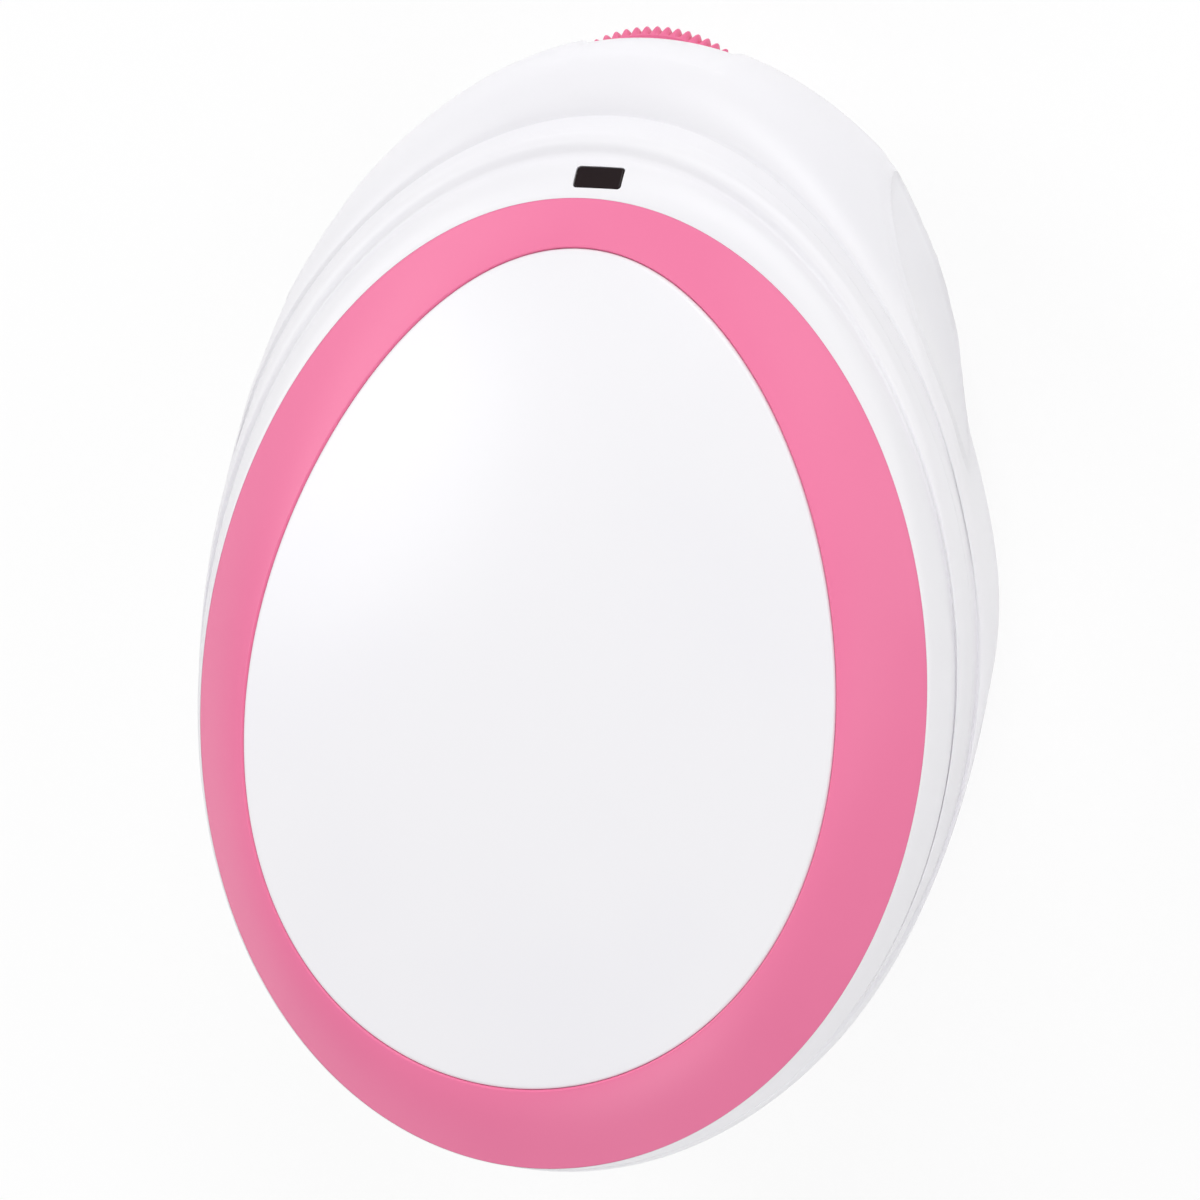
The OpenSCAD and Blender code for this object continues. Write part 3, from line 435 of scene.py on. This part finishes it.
# The clouds' scale is to the metre, and they shade between two levels of their noise.
CLOUD_SCALE, CLOUD_FROM, CLOUD_TO = 38.0, 0.35, 0.7
GLOSS_DRIFT, GRAIN_HEIGHT = 0.05, 0.1


def moulded(name, colour, shade, rough, grain=0.22, dent=0.02, metal=0.0):
    """A moulded, cast or plated surface: an even colour with faint cloudy drift, and the fine grain
    of its mould or its sheet, grain millimetres wide, in its gloss and its surface."""
    made, shader, place = blank(name)
    cloud = place.node("ShaderNodeTexNoise", Vector=place, Scale=CLOUD_SCALE, Detail=2.0)
    join(cloud.between(CLOUD_FROM, CLOUD_TO).blend(colour, shade), shader, "Base Color")
    grains = place.node("ShaderNodeTexNoise", Vector=place, Scale=1 / (grain * MM), Detail=2.0)
    join(rough - GLOSS_DRIFT + grains * (2 * GLOSS_DRIFT), shader, "Roughness")
    bump = place.node("ShaderNodeBump", Height=grains, Distance=GRAIN_HEIGHT * MM, Strength=dent)
    join(bump, shader, "Normal")
    shader.inputs["Metallic"].default_value = metal
    return made


def dress(made, finish, body, slot, *stands_for):
    """Gives a piece its finish, its body and the CAD nodes that it stands for; the slot argument is not used.
    """
    made.data.materials.clear()
    made.data.materials.append(finish)
    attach(made, body)
    if stands_for:
        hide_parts(*stands_for)


SHELL_WHITE = moulded("shell_white", srgb(245, 244, 247), srgb(242, 241, 245), 0.42)
dress(rear_shell, SHELL_WHITE, "root", "shell_white", "rear_shell")

# ---------------------------------------------------------------- Front shell
# The white front cover: two bands with a stepped groove between them run round the deck that carries
# the ring and the panel, and a tongue inside its edge locates it in the rear shell.
TONGUE, TONGUE_W, TONGUE_GAP = 1.0, 1.2, 0.15
GROOVE_OUT, GROOVE_DEEP = (3.9, 2.55, 1.4, 0.55, 0.06), (2.3, 1.75, 3.35, 2.8, 2.35)
STEP_OUT, STEP_DEEP = (4.9, 3.15, 1.62, 0.72, 0.18), (2.25, 1.5, 3.05, 2.95, 2.5)
BAND_OUT, BAND_DEEP = (3.2, 2.1, 1.38, 0.68, 0.15), (1.55, 1.1, 3.0, 2.6, 2.15)
PANEL_HALF_W, PANEL_HALF_L, PANEL_TAPER, PANEL_SHIFT = 26.0, 35.15, 0.134, 1.3
PANEL_RISE, PANEL_CROWN, RING_STRAIGHT, TRIM_GAP = (1.5, 2.8, 4.9, 5.65, 5.6), 7.9, 0.5, 0.06
WINDOW_AT, WINDOW_TILT = (0.9, RING_Y + RING_HALF_L + 1.85, 30.28), 26
WINDOW_W, WINDOW_L, WINDOW_R = 4.3, 2.15, 0.35

# How the first band comes down to the ring's edge, in shares of its reach and of its depth, the
# scales of the deck's loops under the panel, and the points to each span of the bands.
BAND_FALL = ((0.8, 0.66), (0.5, 0.3), (0.2, 0.07), (0.03, 0.006))
DECK_SCALES, BAND_STEPS = (0.02, 0.4, 0.7, 0.9, 1), 6


def panel_plan(scale, out):
    """The panel's egg-shaped edge in the plan, scaled about its centre and moved outwards."""
    s, c = np.sin(turns), np.cos(turns)
    return ((PANEL_HALF_W * (1 - PANEL_TAPER * s) * scale + out) * c,
            RING_Y + PANEL_SHIFT + (PANEL_HALF_L * scale + out) * s)


def ring_loop(f, drop, out=0.0, inner=0.0):
    """A loop on the ring's face, the share f of its way from the outer to the inner edge, lowered by
    drop: part of its rise is straight, part follows a sine."""
    ax, ay = plan(out)
    bx, by = panel_plan(1, inner)
    rise = (around(PANEL_RISE) - lift) * (RING_STRAIGHT * f + (1 - RING_STRAIGHT) * math.sin(quarter * f))
    return np.stack([ax + (bx - ax) * f, ay + (by - ay) * f, RING_Z + lift + rise - drop], axis=1)


def panel_loop(scale, drop, out=0.0):
    """A loop on the panel's dome, which falls with the square of the distance from its centre."""
    x, y = panel_plan(scale, out)
    z = RING_Z + PANEL_CROWN - (PANEL_CROWN - around(PANEL_RISE)) * scale ** 2
    return np.stack([x, y, z - drop], axis=1)


def flow(stations, per):
    """A smooth run through stations, each an array: a Catmull-Rom curve with per points to a span."""
    s = np.asarray(stations)
    padded = np.concatenate([[2 * s[0] - s[1]], s, [2 * s[-1] - s[-2]]])
    u = (np.arange(per) / per).reshape((1, per) + (1,) * (s.ndim - 1))
    a, b, c, d = (padded[k:len(s) - 1 + k][:, None] for k in range(4))
    run = 0.5 * (2 * b + (c - a) * u + (2 * a - 5 * b + 4 * c - d) * u ** 2
                 + (3 * b - a - 3 * c + d) * u ** 3)
    return np.concatenate([run.reshape((-1,) + s.shape[1:]), s[-1:]])


def tilted(points):
    """Points of a flat piece set into the shell at the window, square to its slope."""
    a = math.radians(WINDOW_TILT)
    x, y, z = np.moveaxis(np.asarray(points), -1, 0)
    return np.stack([x, y * math.cos(a) + z * math.sin(a), z * math.cos(a) - y * math.sin(a)],
                    axis=-1) + np.array(WINDOW_AT)


def lozenge(half_w, half_l, radius, z, steps=10):
    """A rectangle with round corners at height z, as points in order."""
    bow = np.linspace(0, quarter, steps)
    rim = [np.stack([cx * (half_w - radius) + radius * np.cos(bow + turn),
                     cy * (half_l - radius) + radius * np.sin(bow + turn)], axis=1)
           for cx, cy, turn in ((1, 1, 0), (-1, 1, quarter), (-1, -1, np.pi), (1, -1, 3 * quarter))]
    rim = np.concatenate(rim)
    return np.column_stack([rim, rim[:, 0] * 0 + z])


first_band = [around(BAND_OUT), around(BAND_DEEP)]
floor_line = [around(GROOVE_OUT), around(GROOVE_DEEP)]
step_line = [around(STEP_OUT), around(STEP_DEEP)]
edge_line = [around(SEAM_OUT), around(SEAM_DEEP)]
stations = [edge_line,
            [(edge_line[0] * 4 + step_line[0]) / 5, (edge_line[1] * 2 + step_line[1]) / 3],
            [(edge_line[0] + step_line[0]) / 2, (edge_line[1] + step_line[1] * 3) / 4],
            step_line, floor_line, first_band]
stations += [[first_band[0] * f, first_band[1] * g] for f, g in BAND_FALL]
rims = [loop(out, deep) for out, deep in flow(np.array(stations), BAND_STEPS)]
rims += [loop(0 * turns, 0 * turns)]
inside = [panel_loop(k, RING_THICK + WALL) for k in DECK_SCALES]
inside += [ring_loop(f, RING_THICK + WALL) for f in (0.7, 0.45)]
inside += [loop(edge_line[0] - WALL - TONGUE_GAP - more, edge_line[1] + deep)
           for more, deep in ((TONGUE_W, TONGUE), (0, TONGUE), (0, 0))]
seat = [ring_loop(f, RING_THICK) for f in (0.0, 0.35, 0.7)]
seat += [panel_loop(k, RING_THICK) for k in DECK_SCALES[::-1]]
front_shell = wrap("front_shell_skin", inside + rims + seat)
opening = [lozenge(WINDOW_W / 2, WINDOW_L / 2, WINDOW_R, z) for z in (-3, 3)]
carve(front_shell, [wrap("window_hole", tilted(opening))])
crisp(front_shell)
dress(front_shell, SHELL_WHITE, "root", "shell_white", "front_shell")

# ---------------------------------------------------------------- Accent ring
# The pink trim between the bands and the panel: a sloped and crowned moulding, flush with the shell
# at its outer edge and rounded down to a narrow ledge beside the panel, pressed in from the front.
RING_REACH, RING_INNER, RING_ROWS = -0.01, 0.03 - TRIM_GAP, 30
EDGE_FROM, EDGE_RUN, EDGE_DROP, LEDGE_DROP = 0.965, 0.014, 0.08, 0.26
UNDER = RING_THICK - TRIM_GAP
corner = np.linspace(0, quarter, 5)
face = [(0.0, UNDER), (0.0, 0.5), (0.0, 0.03), (0.004, 0.008)]
face += [(f, 0.0) for f in np.linspace(0.015, EDGE_FROM, RING_ROWS)]
face += [(EDGE_FROM + EDGE_RUN * math.sin(a), EDGE_DROP * (1 - math.cos(a))) for a in corner[1:]]
face += [(0.992, 0.15), (1.0, LEDGE_DROP), (1.0, UNDER), (0.7, UNDER), (0.35, UNDER)]
accent_ring = wrap("accent_ring_trim", [ring_loop(f, drop, RING_REACH, RING_INNER) for f, drop in face],
                   ring=True)
crisp(accent_ring, 50)
RING_PINK = moulded("accent_pink", srgb(246, 125, 168), srgb(243, 121, 165), 0.45, 0.35, 0.05)
dress(accent_ring, RING_PINK, "root", "accent_pink", "accent_ring")

# ---------------------------------------------------------------- Front panel
# The white oval cap inside the ring: a thin domed skin with a small edge radius, glued to the front
# shell's deck.
PANEL_EDGE, PANEL_MEAN, PANEL_ROWS = 0.25, 30, 40
skin = [panel_loop(k, UNDER, -TRIM_GAP) for k in (0.02, 0.2, 0.4, 0.6, 0.8, 0.93, 1.0)]
skin += [panel_loop(1 - PANEL_EDGE / PANEL_MEAN * (1 - math.cos(a)), PANEL_EDGE * (1 - math.sin(a)),
                    -TRIM_GAP) for a in corner]
skin += [panel_loop(k, 0.0, -TRIM_GAP) for k in np.linspace(0.985, 0.02, PANEL_ROWS)]
front_panel = wrap("front_panel_cap", skin)
crisp(front_panel, 50)
PANEL_WHITE = moulded("panel_white", srgb(246, 245, 248), srgb(244, 243, 247), 0.34, 0.3, 0.01)
dress(front_panel, PANEL_WHITE, "root", "panel_white", "front_panel")

# ---------------------------------------------------------------- Indicator window
# A small smoked window, pressed into the first band from outside, over a clear pipe and a lamp. Its
# profile is how far each loop is drawn in, and the loop's height.
PANE_HALF_W, PANE_HALF_L, PANE_R = WINDOW_W / 2 - TRIM_GAP, WINDOW_L / 2 - TRIM_GAP, 0.3
PANE_PROFILE = ((0.12, -1.3), (0.0, -1.2), (0.0, -0.2), (0.03, -0.13), (0.1, -0.1), (0.22, -0.1))
pane = [lozenge(PANE_HALF_W - back, PANE_HALF_L - back, PANE_R, z) for back, z in PANE_PROFILE]
window = wrap("indicator_window", tilted(pane))
crisp(window, 50)
SMOKED = moulded("smoked_window", srgb(30, 17, 20), srgb(26, 14, 17), 0.32, 0.3, 0.01)
SMOKED.node_tree.nodes["Principled BSDF"].inputs["Specular IOR Level"].default_value = 0.2
dress(window, SMOKED, "root", "window_dark", "indicator_lens")


def coat(node, finish):
    """Gives a CAD node that is shown as it is its finish."""
    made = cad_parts[node]
    made.data.materials.clear()
    made.data.materials.append(finish)
    crisp(made, 30)


coat("light_pipe", moulded("clear_pipe", srgb(222, 228, 228), srgb(214, 222, 222), 0.15))
coat("indicator_lamp", moulded("lamp_resin", srgb(236, 226, 160), srgb(228, 216, 150), 0.25))

# ---------------------------------------------------------------- Volume wheel
# A pink moulded thumbwheel that shows at the narrow end: fine round teeth, a hub and a hollow face.
# It sits on the flatted tip of a potentiometer's rotor and is held by one small screw.
TEETH, TOOTH_H, TOOTH_STEPS, TOOTH_FULLNESS = 82, 0.75, 12, 0.55
HUB_R, HOLLOW, SHAFT_R, SINK_R, SINK_H = 4.2, 0.3, 1.6, 2.2, 0.9
WHEEL_CROWN, WHEEL_FLAT, WHEEL_RIM = 0.12, 1.2, 1.4
WHEEL_ROWS = (0.1, 0.25, 0.4, 0.55, 0.7, 0.85, 1.0)
VALLEY = WHEEL_R - TOOTH_H
wheel_turn = np.arange(TEETH * TOOTH_STEPS) * 2 * np.pi / (TEETH * TOOTH_STEPS)
tooth = (0.5 - 0.5 * np.cos(TEETH * wheel_turn)) ** TOOTH_FULLNESS


def wheel_loop(radius, z, teeth=0.0):
    """A circle of the wheel, with the teeth added at the share teeth: a raised cosine to a power
    under 1, which fills the teeth out and keeps the valleys narrow."""
    r = radius + TOOTH_H * tooth * teeth
    return np.stack([r * np.cos(wheel_turn), WHEEL_Y + r * np.sin(wheel_turn), WHEEL_Z + z + 0 * r], axis=1)


top = WHEEL_H / 2
upper = [(VALLEY - WHEEL_CROWN * q ** 4, top * q, (1 - q * q) ** 1.5) for q in WHEEL_ROWS]
upper += [(VALLEY - WHEEL_FLAT, top, 0), (VALLEY - WHEEL_RIM, top - HOLLOW, 0),
          (HUB_R + 0.2, top - HOLLOW, 0), (HUB_R, top, 0), (SHAFT_R, top, 0)]
lower = [(r, -z, share) for r, z, share in upper[::-1]]
lower = [(SHAFT_R, -top + SINK_H, 0), (SINK_R, -top + SINK_H, 0), (SINK_R, -top, 0)] + lower[1:]
wheel = wrap("volume_wheel_knurled", [wheel_loop(*row) for row in lower + upper], ring=True)
crisp(wheel, 45)
WHEEL_PINK = moulded("wheel_pink", srgb(238, 112, 155), srgb(234, 106, 150), 0.45, 0.35, 0.05)
dress(wheel, WHEEL_PINK, "wheel", "wheel_pink", "volume_wheel")
STEEL = moulded("zinc_steel", srgb(196, 198, 200), srgb(184, 187, 190), 0.32, 0.15, 0.03, 1.0)
NICKEL = moulded("nickel_plate", srgb(214, 209, 200), srgb(204, 198, 188), 0.25, 0.12, 0.03, 1.0)
DARK = moulded("dark_plastic", srgb(45, 45, 48), srgb(38, 38, 41), 0.5)
coat("wheel_screw", STEEL)
coat("pot_rotor", DARK)
coat("pot_body", DARK)

# ---------------------------------------------------------------- Earphone sockets
# Two moulded 3.5 mm sockets under the board, their noses in round holes of the left side wall, each
# with a thin bright collar in its mouth.
COLLAR_H, COLLAR_BEVEL = 0.5, 0.12
collar_profile = [(BORE_R, 0.0), (NOSE_R, 0.0), (NOSE_R, -COLLAR_H + COLLAR_BEVEL),
                  (NOSE_R - COLLAR_BEVEL, -COLLAR_H), (BORE_R + 0.22, -COLLAR_H),
                  (BORE_R + 0.05, -COLLAR_H + 0.08), (BORE_R, -COLLAR_H + 0.22)]
for number, y in enumerate(JACKS_AT):
    collar = turned("jack_collar_%d" % number, collar_profile, (JACK_FACE, y, JACK_Z), "x", ring=True)
    crisp(collar)
    dress(collar, NICKEL, "root", "nickel", *([] if number else ["jack_collars"]))
coat("earphone_jacks", DARK)

# ---------------------------------------------------------------- Probe
# The round ultrasound probe in the back: a cup that stands a little proud, clamped by its flange on a
# rubber seal, with a silicone lens in its mouth over two half-disc crystals and a damping block.
PROBE_H, PROBE_WALL, PROBE_EDGE, PROBE_ROOF, MOUTH_EDGE = 9.2, 1.4, 0.5, 1.2, 0.25
FLANGE_LOW, FLANGE_HIGH, PROBE_BEVEL = FLOOR_Z + 0.5, FLOOR_Z + 1.7, 0.4
LEADS_AT, LEAD_HOLE_R = (-3, 3), 0.9
AXIS_R = 0.02
CUP_R = PROBE_R - PROBE_WALL
cup = [(AXIS_R, PROBE_H - PROBE_ROOF), (CUP_R, PROBE_H - PROBE_ROOF), (CUP_R, MOUTH_EDGE)]
cup += [(CUP_R + MOUTH_EDGE * (1 - math.cos(b)), MOUTH_EDGE - MOUTH_EDGE * math.sin(b)) for b in corner]
cup += [(PROBE_R - PROBE_EDGE + PROBE_EDGE * math.sin(b), PROBE_EDGE * (1 - math.cos(b))) for b in corner]
cup += [(PROBE_R, FLANGE_LOW), (PROBE_R + FLANGE, FLANGE_LOW), (PROBE_R + FLANGE, FLANGE_HIGH),
        (PROBE_R, FLANGE_HIGH), (PROBE_R, PROBE_H - PROBE_BEVEL), (PROBE_R - PROBE_BEVEL, PROBE_H),
        (AXIS_R, PROBE_H)]
housing = turned("probe_cup", cup, (0, PROBE_Y, 0), steps=160)
carve(housing, [post(x, PROBE_Y, LEAD_HOLE_R, PROBE_H - 2, PROBE_H + 1) for x in LEADS_AT])
crisp(housing)
PROBE_WHITE = moulded("probe_white", srgb(236, 235, 237), srgb(232, 231, 234), 0.4)
dress(housing, PROBE_WHITE, "root", "probe_plastic", "probe_housing")

LENS_Z, LENS_T, LENS_GAP, LENS_CROWN, LENS_RIM = 0.2, 1.6, 0.05, 0.12, 0.2
LENS_R = CUP_R - LENS_GAP
DOME_R = LENS_R - LENS_RIM
dome = [(r, LENS_Z - LENS_CROWN * (1 - (r / DOME_R) ** 2)) for r in np.linspace(AXIS_R, DOME_R, 12)]
lens_profile = dome + [(LENS_R - 0.05, LENS_Z + 0.06), (LENS_R, LENS_Z + 0.2), (LENS_R, LENS_Z + LENS_T),
                       (AXIS_R, LENS_Z + LENS_T)]
acoustic = turned("acoustic_face", lens_profile, (0, PROBE_Y, 0), steps=160)
crisp(acoustic)
SILICONE = moulded("lens_silicone", srgb(205, 203, 199), srgb(198, 196, 192), 0.38, 0.3, 0.02)
dress(acoustic, SILICONE, "root", "lens_silicone", "acoustic_lens")
coat("probe_seal", moulded("seal_rubber", srgb(52, 52, 54), srgb(46, 46, 48), 0.7))
CERAMIC = moulded("crystal_ceramic", srgb(205, 190, 160), srgb(196, 180, 150), 0.55)
coat("transmit_crystal", CERAMIC)
coat("receive_crystal", CERAMIC)
EPOXY = moulded("backing_epoxy", srgb(120, 92, 72), srgb(108, 82, 64), 0.6, 0.5)
coat("backing_block", EPOXY)
coat("transducer_leads", moulded("lead_sleeve", srgb(190, 40, 40), srgb(178, 34, 34), 0.35))
coat("lead_header", moulded("header_ivory", srgb(232, 226, 206), srgb(224, 217, 196), 0.45))

# ---------------------------------------------------------------- Batteries and contacts
# Two AAA cells in plain sleeves, head to tail, between nickel-plated plates and conical springs.
# Each cell is turned from its flat end to the nub on its other end.
CONTACT_T, NUB_L, NUB_R = 0.4, 1.0, 1.9
SPRING_L, SPRING_TURNS, SPRING_R, SPRING_FALL, WIRE_R = 3.2, 3, 3.8, 1.6, 0.3
TURN_STEPS, WIRE_SIDES = 48, 10
CONTACT_Y = BAY_Y + CONTACT_T
CAN_L = CELL_L - NUB_L
cell_shape = [(AXIS_R, 0.15), (4.2, 0.15), (4.3, 0.0), (CELL_R - 0.3, 0.0), (CELL_R, 0.3),
              (CELL_R, CAN_L - 0.4), (CELL_R - 0.4, CAN_L), (3.4, CAN_L), (3.3, CAN_L - 0.12),
              (NUB_R + 0.1, CAN_L - 0.12), (NUB_R, CAN_L), (NUB_R, CELL_L - 0.2), (NUB_R - 0.2, CELL_L),
              (AXIS_R, CELL_L)]
SLEEVE = moulded("cell_sleeve", srgb(74, 118, 158), srgb(68, 110, 150), 0.28, 0.4, 0.01)
for name, x, start, way in (("left", -CELL_X, CONTACT_Y + CELL_L, -1),
                            ("right", CELL_X, CONTACT_Y + SPRING_L, 1)):
    cell = turned("cell_" + name, [(r, start + way * h) for r, h in cell_shape], (x, 0, CELL_Z), "y")
    crisp(cell)
    dress(cell, SLEEVE, "root", "cell_sleeve", "battery_cell_" + name)


def coil(name, x, start, way):
    """A conical spring: a round wire along a helix whose radius falls evenly from its wide end."""
    t = np.linspace(0, 1, TURN_STEPS * SPRING_TURNS + 1)[:, None]
    a = t * 2 * np.pi * SPRING_TURNS
    ring = np.arange(WIRE_SIDES) * 2 * np.pi / WIRE_SIDES
    r = SPRING_R - SPRING_FALL * t + WIRE_R * np.cos(ring)
    along = WIRE_R + (SPRING_L - 2 * WIRE_R) * t + WIRE_R * np.sin(ring)
    return wrap(name, np.stack([x + r * np.cos(a), start + way * along, CELL_Z + r * np.sin(a)], axis=2))


near_spring = coil("cell_spring_near", CELL_X, CONTACT_Y, 1)
far_spring = coil("cell_spring_far", -CELL_X, BAY_END - CONTACT_T, -1)
dress(near_spring, NICKEL, "root", "nickel", "contact_springs")
dress(far_spring, NICKEL, "root", "nickel")
coat("terminal_contacts", NICKEL)
coat("bridge_contact", NICKEL)

# ---------------------------------------------------------------- Battery door
# The white sliding plate over the batteries, moulded with two rails and six hooks behind it and five
# grip grooves in its face. Its wheel end follows the shell's back edge, its other end is straight.
DOOR_HALF_W, DOOR_EDGE, DOOR_TOP, DOOR_IN, DOOR_ARC = 13.6, 0.35, 1.14, 1.2, (66, 114)
RAIL_NEAR, RAIL_FAR, HOOK_NEAR = 9.6, 10.3, 10.2
TREADS, TREAD_HALF, TREAD_LESS, TREAD_DEEP = 5, 6, 0.6, 0.35
TREAD_Y, TREAD_W, TREAD_STEP = 24, 0.9, 1.8
arc = np.radians(np.linspace(*DOOR_ARC, 61))
reach = np.interp(arc, turns, around(BACK_OUT)) - DOOR_IN
door_x = (RING_HALF_W * (1 - RING_TAPER * np.sin(arc)) + reach) * np.cos(arc)
door_y = RING_Y + (RING_HALF_L + reach) * np.sin(arc)
foot = BAY_Y - 0.4
sides = [(-DOOR_HALF_W, y) for y in np.linspace(door_y[-1] - 1, foot + 0.8, 20)]
sides += [(-DOOR_HALF_W + 0.25, foot + 0.2)]
outline = np.array([*zip(door_x, door_y), *sides, (-DOOR_HALF_W + 0.8, foot), (DOOR_HALF_W - 0.8, foot),
                    *[(-x, y) for x, y in sides[::-1]]])


def door_loop(inset, z):
    """The door's outline drawn in by inset: each point moves along its edge's inward normal."""
    ahead = np.roll(outline, -1, axis=0) - np.roll(outline, 1, axis=0)
    inward = np.stack([-ahead[:, 1], ahead[:, 0]], axis=1) / np.linalg.norm(ahead, axis=1)[:, None]
    return np.column_stack([outline + inward * inset, outline[:, 0] * 0 + z])


door_loops = [door_loop(DOOR_EDGE * (1 - math.sin(b)), DOOR_EDGE * (1 - math.cos(b)))
              for b in np.linspace(0, quarter, 6)]
door = wrap("battery_door_cover", door_loops + [door_loop(0, DOOR_TOP)])
rails = []
for side in (-1, 1):
    near, far = sorted((side * RAIL_NEAR, side * RAIL_FAR))
    rails.append(block((near, OPENING_Y + DOOR_GAP, BACK_Z - 0.12),
                       (far, OPENING_END - DOOR_TRAVEL - DOOR_GAP, HOOK_Z + HOOK_H)))
    near, far = sorted((side * HOOK_NEAR, side * HOOK_OUT))
    rails += [block((near, y, HOOK_Z), (far, y + HOOK_L, HOOK_Z + HOOK_H)) for y in HOOKS_AT]
carve(door, rails, "UNION")
treads = []
for number in range(TREADS):
    half, y = TREAD_HALF - number * TREAD_LESS, TREAD_Y + number * TREAD_STEP
    treads.append(block((-half, y, -1), (half, y + TREAD_W, TREAD_DEEP)))
carve(door, treads)
crisp(door)
dress(door, SHELL_WHITE, "door", "shell_white", "battery_door")

# ---------------------------------------------------------------- Board
# The green circuit board and what is soldered on it; only a model taken apart shows it.
SOLDER_MASK = moulded("solder_mask", srgb(32, 110, 66), srgb(26, 98, 58), 0.3, 0.6)
CHIP = moulded("chip_epoxy", srgb(38, 38, 40), srgb(32, 32, 34), 0.55)
TIN = moulded("tinned_sheet", srgb(206, 208, 210), srgb(196, 198, 201), 0.3, 0.2, 0.03, 1.0)
coat("main_board", SOLDER_MASK)
coat("microcontroller", CHIP)
coat("audio_amplifier", CHIP)
coat("shield_can", TIN)
coat("timing_crystal", TIN)
coat("capacitors", moulded("capacitor_sleeve", srgb(52, 66, 92), srgb(46, 58, 84), 0.3))

# ---------------------------------------------------------------- Screws
# Four self-tapping screws in deep holes of the back pull the shells together; three hold the board.
# A screw is turned from its tip down its thread, a zigzag of two radii, to its domed head.
TIP_Z, TIP_R = BOSS_TOP + 8.0, 0.5
THREAD_FROM, THREAD_STEP, THREAD_DEEP, THREAD_ROWS = 7.4, 0.4, 0.2, 32
HEAD_H, HEAD_SIDE, HEAD_DOME, HEAD_IN = 1.3, 0.7, 0.6, 0.5
CROSS_HALF, CROSS_W, CROSS_LOW, CROSS_HIGH = 1.1, 0.22, SEAT_Z - 1.4, SEAT_Z - 0.6
screw_shape = [(AXIS_R, TIP_Z), (TIP_R, TIP_Z)]
screw_shape += [(SCREW_R - THREAD_DEEP * (k % 2), BOSS_TOP + THREAD_FROM - THREAD_STEP * k)
                for k in range(THREAD_ROWS)]
screw_shape += [(SCREW_R, SEAT_Z), (HEAD_R, SEAT_Z)]
screw_shape += [(HEAD_R - HEAD_IN * (1 - math.cos(b)), SEAT_Z - HEAD_SIDE - HEAD_DOME * math.sin(b))
                for b in corner]
screw_shape += [(AXIS_R, SEAT_Z - HEAD_H)]
for number, (x, y) in enumerate(CASE_SCREWS):
    screw = turned("case_screw_%d" % number, screw_shape, (x, y, 0), steps=40)
    carve(screw, [block((x - half_x, y - half_y, CROSS_LOW), (x + half_x, y + half_y, CROSS_HIGH))
                  for half_x, half_y in ((CROSS_HALF, CROSS_W), (CROSS_W, CROSS_HALF))])
    crisp(screw)
    dress(screw, STEEL, "root", "steel", *([] if number else ["case_screws"]))
coat("board_screws", STEEL)
